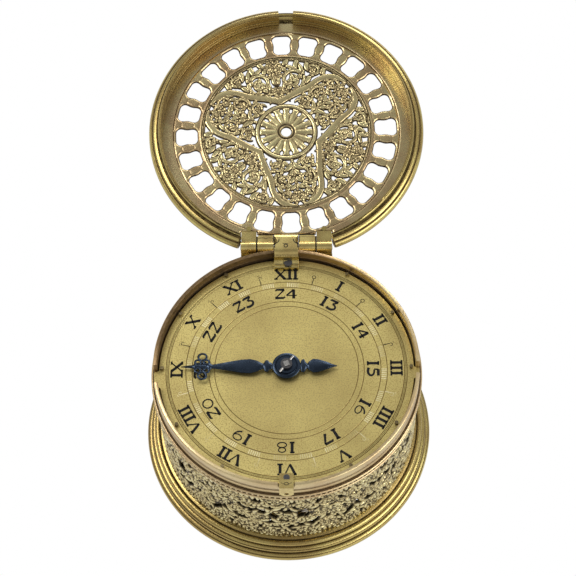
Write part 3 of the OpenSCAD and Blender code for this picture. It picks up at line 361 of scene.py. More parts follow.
def turned(name, profile, angles, soilAndShade, low=None, high=None, shift=None, lid=False):
    # (r cos a, r sin a, z): the closed profile's radius and height carried round Z; low and high clip the
    # height and shift moves the radius, column by column
    n, m = len(angles), len(profile)
    r = np.tile(profile[:, 0], (n, 1))
    z = np.tile(profile[:, 1], (n, 1))
    if low is not None:
        z = np.maximum(z, low[:, None])
    if high is not None:
        z = np.minimum(z, high[:, None])
    if shift is not None:
        r = r + shift
    a = angles[:, None]
    co = np.stack([r * np.cos(a), r * np.sin(a), z], -1).reshape(-1, 3)
    if lid:
        co = openLid(co)
    whole = angles[-1] - angles[0] > 6.2  # only the lid's rim stops short of a full turn
    return quadMesh(name, co, loopQuads(n, m, closeRows=whole), np.broadcast_to(soilAndShade, (n, m)).ravel())


def atEar(x, y, spans):
    # True beside the dial's left or right ear; spans are the lowest and highest y of either
    (left0, left1), (right0, right1) = spans
    return ((x < 0) & (y > left0) & (y < left1)) | ((x > 0) & (y > right0) & (y < right1))


def fieldOf(x, y, shapes):
    # each shape is a row of discs (x, y, radius); a point's field in it is the largest radius - distance.
    # Returns the best field of all shapes, how far the runner-up lies below it, and the best one as a
    # share of its own disc's radius, which is 1 along the middle of a leaf
    px, py = x.ravel(), y.ravel()
    best = np.full(len(px), -9.0)
    second = np.full(len(px), -9.0)
    core = np.zeros(len(px))
    for d in shapes:
        w = d[:, 2].max() + 0.5
        k = np.nonzero((px > d[:, 0].min() - w) & (px < d[:, 0].max() + w)
                       & (py > d[:, 1].min() - w) & (py < d[:, 1].max() + w))[0]
        if not len(k):
            continue
        every = d[:, 2] - np.hypot(px[k, None] - d[:, 0], py[k, None] - d[:, 1])
        near = every.argmax(1)
        f = every[np.arange(len(k)), near]
        above = f > best[k]
        core[k] = np.where(above, f / d[near, 2], core[k])
        second[k] = np.where(above, best[k], np.maximum(second[k], f))
        best[k] = np.maximum(best[k], f)
    return best.reshape(x.shape), (best - second).reshape(x.shape), core.reshape(x.shape)


def stroke(path, w0, w1):
    # discs along a path, radius running evenly from w0 / 2 to w1 / 2
    step = np.hypot(*np.diff(path, axis=0).T)
    s = np.concatenate([[0], np.cumsum(step)])
    t = np.linspace(0, s[-1], max(3, int(s[-1] / 0.14)))
    x, y = np.interp(t, s, path[:, 0]), np.interp(t, s, path[:, 1])
    return np.stack([x, y, np.linspace(w0, w1, len(t)) / 2], 1)


def spiral(cx, cy, r0, r1, a0, turns, n=60):
    # the radius runs from r0 to r1 with t to the power 0.85 while the angle turns evenly from a0
    t = np.linspace(0, 1, n)
    a = np.radians(a0) + 2 * math.pi * turns * t
    r = r0 + (r1 - r0) * t ** 0.85
    return np.stack([cx + r * np.cos(a), cy + r * np.sin(a)], 1)


def leaf(x, y, way, length, width, bend):
    # a bent row of discs, the radius a sine that is largest about a third of the way along
    t = np.linspace(0, 1, 11)
    a = way + bend * t
    px = x + np.concatenate([[0], np.cumsum(np.cos(a[:-1]))]) * length / 10
    py = y + np.concatenate([[0], np.cumsum(np.sin(a[:-1]))]) * length / 10
    return np.stack([px, py, width / 2 * np.sin(math.pi * (0.12 + 0.84 * t ** 0.8)) + 0.06], 1)


def leavesAlong(path, spacing, length, width, lean, bend, side):
    # leaves on one side of a path, leaning forwards, shorter towards its end
    step = np.hypot(*np.diff(path, axis=0).T)
    s = np.concatenate([[0], np.cumsum(step)])
    parts = []
    for t in np.arange(spacing * 0.6, s[-1], spacing):
        k = min(np.searchsorted(s, t), len(path) - 1)
        way = math.atan2(*(path[k] - path[k - 1])[::-1])
        f = 1 - 0.45 * t / s[-1]
        parts.append(leaf(*path[k], way + side * lean, length * f, width * f, side * bend))
    return parts


def shell(name, f, u, v, place, relief, soilAndShade):
    # keeps the cells where the field f is positive, slides their rim onto f = 0, and closes the two faces
    # with a wall; place(u, v, side, lift) gives the 3-D points of either face, relief(f) their lift and
    # the last argument their dirt and painted shade
    keep = joined((f[:-1, :-1] + f[1:, :-1] + f[:-1, 1:] + f[1:, 1:]) > 0)
    nu, nv = f.shape
    h = abs(v[0, 1] - v[0, 0])
    stepU = (u[1, 0] - u[0, 0]) / h
    gu, gv = np.gradient(f, h)
    kept = np.zeros((nu, nv), np.int32)
    full = np.full((nu, nv), 4)
    full[[0, -1], :] //= 2
    full[:, [0, -1]] //= 2
    cu, cv = np.nonzero(keep)
    square = ((0, 0), (1, 0), (1, 1), (0, 1))
    for a, b in square:
        np.add.at(kept, (cu + a, cv + b), 1)
    rim = (kept > 0) & (kept < full)
    steep = np.sqrt(np.maximum(gu ** 2 + gv ** 2, 0.05))
    slide = np.where(rim, np.clip(-f / steep, -0.62 * h, 0.62 * h) / steep, 0)
    seamU = np.zeros((nu, nv), bool)
    seamU[[0, -1], :] = True
    seamV = np.zeros((nu, nv), bool)
    seamV[:, [0, -1]] = True
    k = kept > 0
    u2 = (u + np.where(seamU, 0, slide * gu * stepU))[k]
    v2 = (v + np.where(seamV, 0, slide * gv))[k]
    f2 = np.where(rim, 0, np.maximum(f, 0))
    index = -np.ones((nu, nv), np.int64)
    index[k] = np.arange(k.sum())
    lift = relief(f2)[k]
    top, low = place(u2, v2, 1, lift), place(u2, v2, 0, lift)
    n = len(top)
    corner = [index[cu + a, cv + b] for a, b in square]
    up = np.stack(corner, 1)
    quads = [up, up[:, ::-1] + n]
    padded = np.pad(keep, 1)
    for a, b, du, dv in ((0, 1, 0, -1), (1, 2, 1, 0), (2, 3, 0, 1), (3, 0, -1, 0)):
        e = ~padded[cu + 1 + du, cv + 1 + dv]
        quads.append(np.stack([corner[b][e], corner[a][e], corner[a][e] + n, corner[b][e] + n], 1))
    shade = np.tile(soilAndShade(f2)[k], 2)
    return quadMesh(name, np.concatenate([top, low]), np.concatenate(quads), shade)


def joined(keep):
    # fills one of two cells that only touch at a corner, then keeps the largest patch alone: labels
    # spread to their neighbours, and jump along themselves, until they settle
    for _ in range(3):
        a, b, c, d = keep[:-1, :-1], keep[:-1, 1:], keep[1:, :-1], keep[1:, 1:]
        bad = (a & d & ~b & ~c) | (b & c & ~a & ~d)
        keep = keep.copy()
        keep[:-1, :-1] |= bad
        keep[:-1, 1:] |= bad
    label = np.where(keep, np.arange(keep.size).reshape(keep.shape) + 1, 0)
    while True:
        last = label
        wide = np.pad(label, 1)
        for part in (wide[2:, 1:-1], wide[:-2, 1:-1], wide[1:-1, 2:], wide[1:-1, :-2]):
            label = np.where(keep, np.maximum(label, part), 0)
        flat = np.concatenate([[0], label.ravel()])
        label = np.where(keep, np.maximum(label, flat[label]), 0)
        if (label == last).all():
            break
    values, counts = np.unique(label[label > 0], return_counts=True)
    return label == values[counts.argmax()]


# moulded base ring
baseRing = {"outer": 33.84, "inner": 28.6, "seat": 29.6, "seatZ": 1.2, "columns": 360}


def addBaseRing(v):
    # turned profile: three rounds, each set in from the one below, with a fillet between them
    r, top = v["outer"], size["band"]
    p = np.concatenate([
        [[v["seat"], 0], [r - 1.3, 0]], arcPath(r - 1.1, 1.1, 1.1, -80, 38, 14), [[r - 0.34, 1.82]],
        arcPath(r - 1.1, 1.1, 1.1, 50, 80, 5),
        [[r - 1.35, 2.2], [r - 1.35, 2.34], [r - 1.6, 2.36]],
        arcPath(r - 1.94, 3.0, 0.85, -40, 30, 9), [[r - 1.33, 3.5]], arcPath(r - 1.94, 3.0, 0.85, 44, 100, 7),
        [[r - 2.35, 3.92], [r - 2.35, 4.06], [r - 2.62, 4.08]],
        arcPath(r - 2.74, 4.5, 0.72, -20, 60, 10),
        [[30.95, 5.26], [30.6, 5.1], [30.35, top], [v["inner"], top], [v["inner"], v["seatZ"]],
         [v["seat"], v["seatZ"]]]])
    angles = np.linspace(0, 2 * math.pi, v["columns"], endpoint=False)
    sideShade = np.clip(0.13 - 0.17 * np.cos(angles), 0, 0.3)[:, None]  # painted shade, darkest at nine o'clock
    # dirt and painted shade in the creases, with the painted shade of the left side
    soilAndShade = np.maximum(np.clip(creases(p), 0, 1)[None, :], sideShade)
    addPiece("baseMoulding", turned("baseMoulding", p, angles, soilAndShade), "giltMoulding", "case", "gilt_moulding",
             "base_ring")


addBaseRing(baseRing)

# neck with its milled collar
neck = {"inner": 29.0, "outer": 29.9, "collar": 30.3, "bead": 30.45, "beads": 152, "beadColumns": 8,
        "ears": ((-4.65, -0.45), (-2.65, 0.15)), "earFloor": 30.35, "catchHalf": 1.7, "catchFloor": 33.6}


def addNeck(v):
    # turned profile; its middle band is pressed in between the beads, and its top is cut down where the
    # dial's ears and the catch lie in it
    low, out, b = v["inner"], v["outer"], v["bead"]
    foot, ledge, top = size["collar"], size["ledge"], size["neckTop"]
    p = np.concatenate([
        [[low, foot], [v["collar"], foot]], arcPath(v["collar"] - 0.02, 28.02, 0.3, -80, 80, 7),
        [[30.22, 28.3], [30.42, 28.34], [b, 28.45], [b, 28.75], [b, 29.05], [30.42, 29.16], [30.22, 29.2]],
        arcPath(v["collar"] - 0.02, 29.48, 0.3, -80, 80, 7),
        [[30.2, 29.8], [30.1, ledge], [29.92, ledge], [out, 30.05], [out, 30.3], [out, 31.3],
         [out - 0.05, 31.36], [out - 0.05, 31.46], [out, 31.52], [out, 32.6], [out, 33.9],
         [out - 0.08, 34.15], [out - 0.22, top], [low + 0.1, top], [low, 34.15], [low, 33.95], [low, 32.4],
         [low + 0.06, 32.35], [low, 32.3], [low, 31]]])
    n = v["beads"] * v["beadColumns"]
    angles = np.arange(n) * 2 * math.pi / n
    phase = (np.arange(n) % v["beadColumns"]) / v["beadColumns"]
    tooth = np.clip((np.abs(phase - 0.5) - 0.21) / 0.08, 0, 1)[:, None]
    milled = ((p[:, 0] > 30.4) & (p[:, 1] > 28.32) & (p[:, 1] < 29.18))[None, :]
    shift = -0.42 * (1 - tooth) * milled
    wall = (p[:, 1] > 30.2) & (p[:, 0] > 29.5)
    lines = np.where(wall, np.where((p[:, 0] < out) & (p[:, 1] < 32), 0.4, 0), creases(p) * 0.9)
    inside = ((p[:, 0] < 29.3) & (p[:, 1] < 34.1))[None, :]
    sideShade = np.clip(0.34 - 0.3 * np.cos(angles), 0.05, 0.6)[:, None]  # painted shade, darker towards nine o'clock
    rearShade = 0.62 * np.clip(np.cos(angles - 2.27) * 1.6 - 0.3, 0, 1)[:, None]  # painted shade, darkest from there to twelve
    rim = ((p[:, 0] < 29.75) & (p[:, 1] > 33.8))[None, :]
    # dirt and painted shade in the creases and the pressed-in teeth; painted shade inside and along the inner
    # rim by angle
    soilAndShade = np.maximum(np.where(inside, sideShade, lines[None, :]), (1 - tooth) * milled)
    soilAndShade = np.maximum(soilAndShade, (inside | rim) * rearShade)
    high = np.full(n, 40.0)
    x, y = 29.5 * np.cos(angles), 29.5 * np.sin(angles)
    high[atEar(x, y, v["ears"])] = v["earFloor"]
    high[(np.abs(x) < v["catchHalf"]) & (y < 0)] = v["catchFloor"]
    me = turned("neckCollar", p, angles, soilAndShade, high=high, shift=shift)
    addPiece("neckCollar", me, "giltNeck", "case", "gilt_neck", "neck_ring")


addNeck(neck)

# moulded rim of the lid
lidRim = {"edge": 30.5, "flare": 2.65, "bore": 30.0, "groove": 30.17, "columns": 320, "gap": 10.75,
          "gapR": 30.6, "catchHalf": 1.75, "catchR": 31, "ease": 9.5, "easeFrom": 20.5}


def addLidRim(v):
    # turned profile with a gap for the hinge; its lower edge is cut up for the catch, and rises towards
    # the hinge so that it passes the neck as the lid shuts
    e, m, b, g = v["edge"], v["edge"] + v["flare"], v["bore"], v["groove"]
    z, top = size["ledge"], size["lidTop"]
    p = np.concatenate([
        [[30.03, z + 0.05], [e - 0.1, z + 0.05], [e, z + 0.15], [e, z + 0.34], [e - 0.12, z + 0.4],
         [e, z + 0.46], [e, z + 0.7]], arcPath(e - 0.2, z + 1.15, 0.5, -60, 60, 8),
        [[e + 0.02, z + 1.75], [e + 0.35, z + 1.95], [e + 0.62, z + 2.0], [e + 0.7, z + 2.12],
         [e + 0.78, z + 2.02], [m - 1.3, z + 2.15], [m - 1.02, z + 2.35], [m - 0.98, z + 2.5]],
        arcPath(m - 1.2, z + 3.65, 1.2, -62, -8, 8), [[m - 0.12, z + 3.55]],
        arcPath(m - 1.2, z + 3.65, 1.2, 0, 32, 6), [[m - 0.3, z + 4.36]],
        arcPath(m - 1.2, z + 3.65, 1.2, 40, 70, 6), [[m - 0.85, z + 4.86], [m - 0.85, z + 5.0]],
        arcPath(m - 1.5, top - 1.0, 0.86, -5, 62, 9),
        [[m - 1.35, top - 0.2], [m - 1.55, top - 0.04], [m - 1.75, top], [m - 1.83, top - 0.12],
         [m - 1.91, top], [30.95, top], [30.88, top - 0.12], [30.8, top], [30.62, top - 0.1],
         [30.6, size["lidZ"]], [b, 34.33], [b, 34.1], [g, 33.98], [g, 33.82], [b, 33.7], [b, 33.0],
         [g, 32.88], [g, 32.74], [b, 32.62], [b, 30.9], [g, 30.78], [g, 30.6], [b, 30.5]]])
    gap = math.asin(v["gap"] / v["gapR"])
    sweep = np.linspace(math.pi / 2 + gap, math.pi * 2.5 - gap, v["columns"])
    notch = math.asin(v["catchHalf"] / v["catchR"])
    cuts = [1.5 * math.pi + side * notch + step for side in (-1, 1) for step in (-1e-5, 1e-5)]
    angles = np.sort(np.concatenate([sweep, cuts]))
    y = v["catchR"] * np.sin(angles)
    low = z + 0.05 + np.clip(y - v["easeFrom"], 0, None) * math.tan(math.radians(v["ease"]))
    low[np.abs(angles - 1.5 * math.pi) < notch] = size["lidZ"]
    wall = p[:, 0] < 30.2
    shift = np.where(wall[None, :], 0.24 * np.clip(np.sin(angles), 0, 1)[:, None], 0)
    # painted shade on the inner wall, darkest towards nine o'clock; the grooves and creases carry dirt and
    # painted shade
    sideShade = np.clip(0.24 - 0.14 * np.cos(angles), 0.1, 0.4)[:, None]
    line = np.where(wall, p[:, 0] > 30.1, np.clip(creases(p) * 1.4, 0, 1))[None, :]
    soilAndShade = np.where((wall & (p[:, 0] < 30.1))[None, :], sideShade, line)
    soilAndShade[:, :2] = 0.3
    me = turned("lidMoulding", p, angles, soilAndShade, low=low, shift=shift, lid=True)
    closeEnds(me, len(angles), len(p))
    addPiece("lidMoulding", me, "giltMoulding", "lid", "gilt_moulding", "lid_rim")


def closeEnds(me, n, k):
    # a flat face over the first and the last of n sections of k points
    bm = bmesh.new()
    bm.from_mesh(me)
    bm.verts.ensure_lookup_table()
    bm.faces.new([bm.verts[i] for i in range(k)])
    bm.faces.new([bm.verts[(n - 1) * k + i] for i in reversed(range(k))])
    bmesh.ops.recalc_face_normals(bm, faces=bm.faces)
    bm.to_mesh(me)
    bm.free()


addLidRim(lidRim)
print("turned rings ready")

# pierced plate of the lid: a ring of 24 windows round a three-lobed strapwork roundel
lidPlate = {
    "seam": 20.62, "seat": 30.6, "ornament": 0.34, "grid": 0.165, "lobe": -40.0,
    "ring": 7.0, "rim": 19.7, "rimLine": 20.1, "hub": 6.5, "bore": 1.25, "petals": 16,
    "strap": [(7.9, 66), (8.3, 60), (9.4, 48), (11.2, 34), (13.6, 25.5), (16.5, 21), (19.0, 14), (20.3, 3)],
    # radius and angle of the eye, size, start angle, turns, stem, rosette; spacing, length, width of leaves
    "scrolls": [(9.5, 24, 1.8, 200, 1.2, 0.8, 0.6, 1.4, 2.0, 1.05),
                (13.2, 13.0, 2.2, 150, -1.3, 0.85, 0.65, 1.6, 2.6, 1.2),
                (17.1, 8.5, 1.9, 250, 1.2, 0.8, 0.6, 1.5, 2.3, 1.15),
                (10.3, 43, 1.1, 20, 1.0, 0.75, 0.45, 1.2, 1.5, 0.95),
                (14.6, 44, 3.4, 225, 1.45, 1.05, 1.0, 1.9, 3.5, 1.35),
                (18.2, 28.0, 1.6, 90, -1.1, 0.85, 0.5, 1.4, 2.4, 1.1),
                (11.3, 57, 1.4, 250, -1.1, 0.85, 0.5, 1.4, 2.0, 1.1),
                (18.1, 58, 1.9, 120, 1.2, 0.9, 0.7, 1.5, 2.5, 1.15)],
    # single leaves: radius, angle, direction, length
    "leaves": [(20.0, 42, 200, 3.0), (20.0, 35, 212, 2.8), (20.0, 49, 188, 2.8), (13.2, 59, 40, 3.0),
               (15.6, 58, 60, 2.8), (17.4, 36, 205, 2.6), (11.9, 47, 20, 2.6), (16.9, 51, 80, 2.6),
               (19.9, 22, 205, 2.4)],
    "windows": 24, "windowR": 21.5, "windowH": 5.2, "corner": 0.95, "turn": -2.6, "columns": 30, "rows": 44,
    "lineIn": 21.15, "lineOut": 27.4, "strapCut": (7.05, 27.2), "lugCut": (8.87, 1.9, 26.4)}


def polarPath(points, n=40):
    # smooth path through (radius, degrees) points
    p = np.array(points, float)
    t = np.linspace(0, 1, len(p))
    s = np.linspace(0, 1, n)
    r = np.interp(s, t, p[:, 0])
    a = np.radians(np.interp(s, t, p[:, 1]))
    for _ in range(6):
        r[1:-1] = (r[:-2] + 2 * r[1:-1] + r[2:]) / 4
        a[1:-1] = (a[:-2] + 2 * a[1:-1] + a[2:]) / 4
    return np.stack([r * np.cos(a), r * np.sin(a)], 1)


def scroll(r, a, size0, start, turns, stem, boss, spacing, long, wide):
    # a spiral with a rosette in its eye and leaves that sweep along its outside
    c = (r * math.cos(math.radians(a)), r * math.sin(math.radians(a)))
    s = spiral(*c, size0, boss * 1.1, start, turns)
    side = -1 if turns > 0 else 1
    eye = [leaf(*c, k * 2.094 + start, boss * 1.6, boss * 1.15, 0.5) for k in range(3)]
    outside = leavesAlong(s, spacing * 1.25, long * 1.25, wide * 0.9, 0.5, -0.75, side)
    return [stroke(s, stem * 1.15, stem * 0.8)] + eye + outside

def roundelShapes(v):
    # one half of a lobe: X runs along the lobe's axis, and 60 degrees lies between two lobes
    stem = polarPath([(7.2, 0), (18.2, 0)], 60)
    parts = [stroke(stem, 0.8, 0.6)] + leavesAlong(stem, 1.9, 3.4, 1.25, 0.6, 0.7, 1)
    for row in v["scrolls"]:
        parts += scroll(*row)
    for r, a, way, long in v["leaves"]:
        x, y = r * math.cos(math.radians(a)), r * math.sin(math.radians(a))
        parts.append(leaf(x, y, math.radians(way), long, 1.25, 0.9))
    return parts + [stroke(polarPath([(8.0, 60), (11, 60), (20.4, 60)]), 0.85, 0.85)]


def scribed(x, at, wide):
    # bell curve exp(-((x - at) / wide) ^ 2), for a line cut at that place
    return np.exp(-((x - at) / wide) ** 2)


def lidFace(side, lift):
    # height of the shut lid's outer or inner face, with its ornament raised by lift
    depth = lidPlate["ornament"]
    return size["lidZ"] + (size["lidPlate"] - depth + lift if side else depth - lift)


def addRoundel(v):
    # the foliage of one half lobe is folded over all three lobes; strap, ring, rim and hub are laid over
    # it as the largest of their fields, and edge is how far a point lies from the seam between two of them
    n = int(2 * v["seam"] / v["grid"]) + 4
    line = (np.arange(n + 1) - n / 2) * v["grid"]
    x, y = np.meshgrid(line, line, indexing="ij")
    r = np.hypot(x, y)
    a = np.degrees(np.arctan2(y, x))
    fold = np.radians(np.abs((a - v["lobe"] + 60) % 120 - 60))
    f, edge, core = fieldOf(r * np.cos(fold), r * np.sin(fold), roundelShapes(v))
    strap = stroke(polarPath(v["strap"]), 1.75, 1.6)
    s = fieldOf(r * np.cos(fold), r * np.sin(fold), [strap])[0]
    edge = np.where(s > 0, 0.12 + np.abs(s - 0.22) * 2.5, np.minimum(edge, -s))
    core = np.where(s > -0.25, 0, core)
    onStrap = s > 0.1
    f = np.maximum(f + 0.07, s)
    ring = 0.68 - np.abs(r - v["ring"])
    rim = r - v["rim"]
    band = np.maximum(ring, rim)
    edge = np.where(band > f, 1, edge)
    edge = np.minimum(edge, np.abs(f - band))
    petal = np.abs((a / 360 * v["petals"]) % 1 - 0.5) * 2
    hub = np.where(r < 6.7, v["hub"] - r, -9)
    slot = 0.34 - np.hypot(petal * r * math.pi / v["petals"], (r - 5.85) * 0.5)
    inner = np.minimum(hub, np.where(r > 4.9, -slot, 9))
    edge = np.where(inner > np.maximum(f, band), 0.14 + 0.5 * petal * (r < 6) + np.abs(r - 2.4) * 0.2, edge)
    f = np.maximum(np.maximum(f, band), inner)
    f = np.minimum(np.minimum(f, r - v["bore"]), v["seam"] - r)
    vein = np.clip((core - 0.72) / 0.2, 0, 1)
    offRing = np.abs(r - v["ring"])

    def place(u, w, side, lift):
        return openLid(np.stack([u, w, lidFace(side, lift)], 1))

    def relief(f):
        dome = 0.3 * np.sqrt(np.clip(f / 0.3, 0, 1)) * np.clip(0.3 + edge / 0.26, 0, 1)
        dome = dome + 0.04 * np.clip(f / 0.6, 0, 1) - 0.1 * vein * (f < 0.72)
        flute = 0.16 * (1 - petal) * np.exp(-((r - 4.2) / 1.6) ** 4) + 0.14 * scribed(r, 2.0, 0.25)
        line = 0.12 * scribed(offRing, 0.42, 0.12) + 0.14 * scribed(r, v["rimLine"], 0.13)
        return np.maximum(dome - flute - line, 0.02)

    def soilAndShade(f):
        # darker towards the cut edges, the seams between shapes and in the hub's flutes: dirt and painted
        # shade
        s = np.maximum(1 - f / 0.32, 1 - edge / 0.26)
        s = np.maximum(s, 0.36 * vein * (f < 0.72))
        s = np.maximum(s, np.where(onStrap | (r > v["rim"]), 0.17, 0))  # the leaves are rubbed bright
        fluted = np.maximum(0.85 - 2.2 * petal - np.abs(r - 4) * 0.12, 0.1)
        s = np.where(r < 6.4, np.maximum(fluted, 1 - f / 0.3), s)
        s = np.maximum(s, 0.85 * scribed(r, 1.9, 0.35))
        s = np.maximum(s, scribed(offRing, 0.42, 0.12))
        s = np.maximum(s, scribed(r, v["rimLine"], 0.12))
        return np.clip(s, 0, 1)

    me = shell("lidRoundel", f, x, y, place, relief, soilAndShade)
    addPiece("lidRoundel", me, "giltRoundel", "lid", "gilt_pierced", "lid_grille")
    print("lid roundel:", len(me.polygons), "faces")


def addWindows(v):
    # polar grid: columns follow the windows, rows run outwards from the roundel's seam to the rim; a
    # window's field is a rounded box whose half width narrows at its waist
    pitch = 360 / v["windows"]
    n = v["windows"] * v["columns"]
    a, r = np.meshgrid(np.linspace(0, 360, n + 1), np.linspace(v["seam"] - 0.02, v["seat"], v["rows"] + 1),
                       indexing="ij")
    rm = v["windowR"] + v["windowH"] / 2
    half = pitch * 0.335 - 0.1 - 0.24 * np.cos(2 * math.pi * (r - rm) / 2.9)
    local = np.abs((a - v["turn"] - 90 + pitch / 2) % pitch - pitch / 2)
    q1 = (local - half) * math.pi / 180 * r + v["corner"]
    q2 = np.abs(r - rm) - v["windowH"] / 2 + v["corner"]
    f = np.hypot(np.maximum(q1, 0), np.maximum(q2, 0)) + np.minimum(np.maximum(q1, q2), 0) - v["corner"]
    x, y = r * np.cos(np.radians(a)), r * np.sin(np.radians(a))
    strapX, strapY = v["strapCut"]
    lugX, lugHalf, lugY = v["lugCut"]
    strap = np.maximum(np.abs(x) - strapX, strapY - y)
    lugs = np.maximum(np.abs(np.abs(x) - lugX) - lugHalf, lugY - y)
    f = np.minimum(np.minimum(f, strap), lugs)
    collar = scribed(np.abs(r - rm), 1.45, 0.16) * (r < rm + 2.4) * (local > half)

    def place(u, w, side, lift):
        u = np.radians(u)
        return openLid(np.stack([w * np.cos(u), w * np.sin(u), lidFace(side, lift)], 1))

    def relief(f):
        line = 0.16 * scribed(r, v["lineIn"], 0.12) + 0.12 * scribed(r, v["lineOut"], 0.14)
        return np.maximum(0.34 * np.sqrt(np.clip(f / 0.45, 0, 1)) - line - 0.07 * collar, 0.02)

    def soilAndShade(f):
        # darker towards the cut edges and where the plate meets the rim: dirt and painted shade
        s = 1 - f / 0.2
        s = np.maximum(s, scribed(r, v["lineIn"], 0.11))
        s = np.maximum(s, 0.8 * scribed(r, v["lineOut"], 0.14))
        s = np.maximum(s, 0.9 * scribed(r, 30.5, 0.25))
        return np.clip(np.maximum(s, 0.4 * collar), 0, 1)

    me = shell("lidWindows", f, a, r, place, relief, soilAndShade)
    addPiece("lidWindows", me, "giltLid", "lid", "gilt_pierced", "lid_grille")
    print("lid windows:", len(me.polygons), "faces")


addRoundel(lidPlate)
addWindows(lidPlate)

# pierced side band: scrolling foliage between two beaded borders, in three lengths that meet
sideBand = {"outer": size["caseR"], "wall": 1.0, "low": size["band"], "high": size["collar"], "repeats": 6,
            "lengths": 3, "grid": 0.205, "scrolls": 5, "rows": 3, "pearls": 168, "border": 1.0,
            "closers": [(20.0, 14.0, 0.4, 3.4), (8.7, 11.4, 0.7, 2.2)]}


def bandShapes(v, width):
    # staggered rows of scrolls, tied together by stems that wave from row to row
    parts, low, high = [], v["low"], v["high"]
    step = width / v["scrolls"]
    for row in range(v["rows"]):
        z0 = low + 4.2 + row * (high - low - 8.4) / (v["rows"] - 1)
        wave = np.linspace(0, width, 200)
        rise = 3.3 * np.sin(wave * 2 * math.pi / step * 0.6 + row * 2)
        path = np.stack([wave + row * step / 2, z0 + rise], 1)
        parts.append(stroke(path, 1.05, 1.05))
        for k in range(v["scrolls"]):
            x = (k + 0.5 * (row % 2)) * step + 0.7 * math.sin(k * 2.4 + row)
            z = z0 + 0.95 * math.sin(k * 1.9 + row * 2.1)
            up = 1 if (k + row) % 2 else -1
            big = 2.7 + 0.5 * math.sin(k * 3.1 + row * 1.3)
            s = spiral(x, z, big, 0.8, 90 * up + 55 * k, up * 1.3)
            parts.append(stroke(s, 1.2, 0.8))
            parts += [leaf(x, z, j * 2.094 + k, 1.5, 1.1, 0.5) for j in range(3)]
            parts += leavesAlong(s, 2.3, 3.6, 1.45, 0.6, -0.8, -up)
            parts += leavesAlong(s, 3.0, 1.6, 0.9, 0.7, 0.6, up)
        parts += leavesAlong(path, 4.1, 2.9, 1.45, 0.7, 0.8, 1)
        parts += leavesAlong(path, 4.4, 2.7, 1.4, 0.7, 0.8, -1)
    for j in np.arange(0, width, step / 5):
        for z, turn in ((low + 0.9, 1), (high - 0.9, -1)):
            parts.append(leaf(j, z, turn * (math.pi / 2 - 0.5), 2.4, 1.2, 0.9 * turn))
    for x, z, way, long in v["closers"]:  # close the two widest openings
        parts.append(leaf(x, z, way, long, 1.3, 0.5))
    return [part + [k * width, 0, 0] for k in (-1, 0, 1) for part in parts]


def addSideBand(v):
    # the flat pattern (u, z) rolled up: r cos(u / r), r sin(u / r), z
    out = v["outer"]
    around = 2 * math.pi * out
    width = around / v["repeats"]
    times = v["repeats"] // v["lengths"]
    cols = int(round(width / v["grid"]))
    rows = int(round((v["high"] - v["low"]) / v["grid"]))
    w = np.linspace(v["low"], v["high"], rows + 1)
    u, z = np.meshgrid(np.arange(cols) * width / cols, w, indexing="ij")
    f, edge, core = fieldOf(u, z, bandShapes(v, width))
    again = np.arange(cols * times + 1) % cols
    f, edge, core = f[again] + 0.09, edge[again], core[again]
    vein = np.clip((core - 0.75) / 0.2, 0, 1)

    def place(uu, zz, side, lift):
        r = out - 0.45 + lift if side else np.full(len(uu), out - v["wall"])
        return np.stack([r * np.cos(uu / out), r * np.sin(uu / out), zz], 1)

    for part in range(v["lengths"]):
        start = part * times * width
        u, z = np.meshgrid(start + np.arange(cols * times + 1) * width / cols, w, indexing="ij")
        border = np.minimum(z - v["low"], v["high"] - z)
        strip = border < v["border"]
        whole = np.where(strip, np.maximum(f, v["border"] + 0.02 - border), f)
        bead = np.abs((u / around * v["pearls"]) % 1 - 0.5) * 2

        def relief(f):
            carved = 0.42 * np.sqrt(np.clip(f / 0.5, 0, 1)) * np.clip(0.15 + edge / 0.42, 0, 1)
            carved = carved + 0.08 * np.clip(f / 0.8, 0, 1) - 0.1 * vein
            pearl = 0.45 * np.sqrt(np.clip(1 - bead ** 2 * 0.9 - ((border - 0.5) / 0.42) ** 2 * 0.6, 0, 1))
            return np.where(strip, pearl, np.maximum(carved, 0.02))

        def soilAndShade(f):
            # darker towards the cut edges, the seams between leaves and between the pearls: dirt and painted
            # shade
            s = np.maximum(1 - f / 0.42, 1 - edge / 0.26)
            s = np.maximum(s, 0.2 * vein)
            pearl = np.maximum((bead - 0.62) * 3, (np.abs(border - 0.5) - 0.33) * 6)
            return np.clip(np.where(strip, pearl, s), 0, 1)

        me = shell("sideTracery%d" % (part + 1), whole, u, z, place, relief, soilAndShade)
        addPiece(me.name, me, "giltPierced", "case", "gilt_pierced", "case_band")
        print("side tracery:", len(me.polygons), "faces")


addSideBand(sideBand)

# dial: a turned plate with engraved circles, and numerals filled with black wax
dial = {"top": size["dial"], "thick": 1.2, "radius": 28.71, "shiftY": -0.16, "bore": 1.33, "columns": 540,
        "circles": [16.18, 17.47, 21.23, 22.65, 26.52, 27.12], "groove": 0.1, "depth": 0.06,
        "ears": ((-4.35, -0.6), (-2.35, 0.1)), "earR": 29.86,
        "romanFoot": 23.4, "romanTall": 2.6, "romanWide": 1.4, "arabicFoot": 18.2, "arabicTall": 2.55,
        "arabicWide": 1.55, "scaleFoot": 21.37, "scaleTall": 1.14, "scaleStart": 0.7, "scaleStep": 1.25,
        "halfFoot": 22.7, "ringed": (15, 45)}  # two half hours, in degrees, have a ring


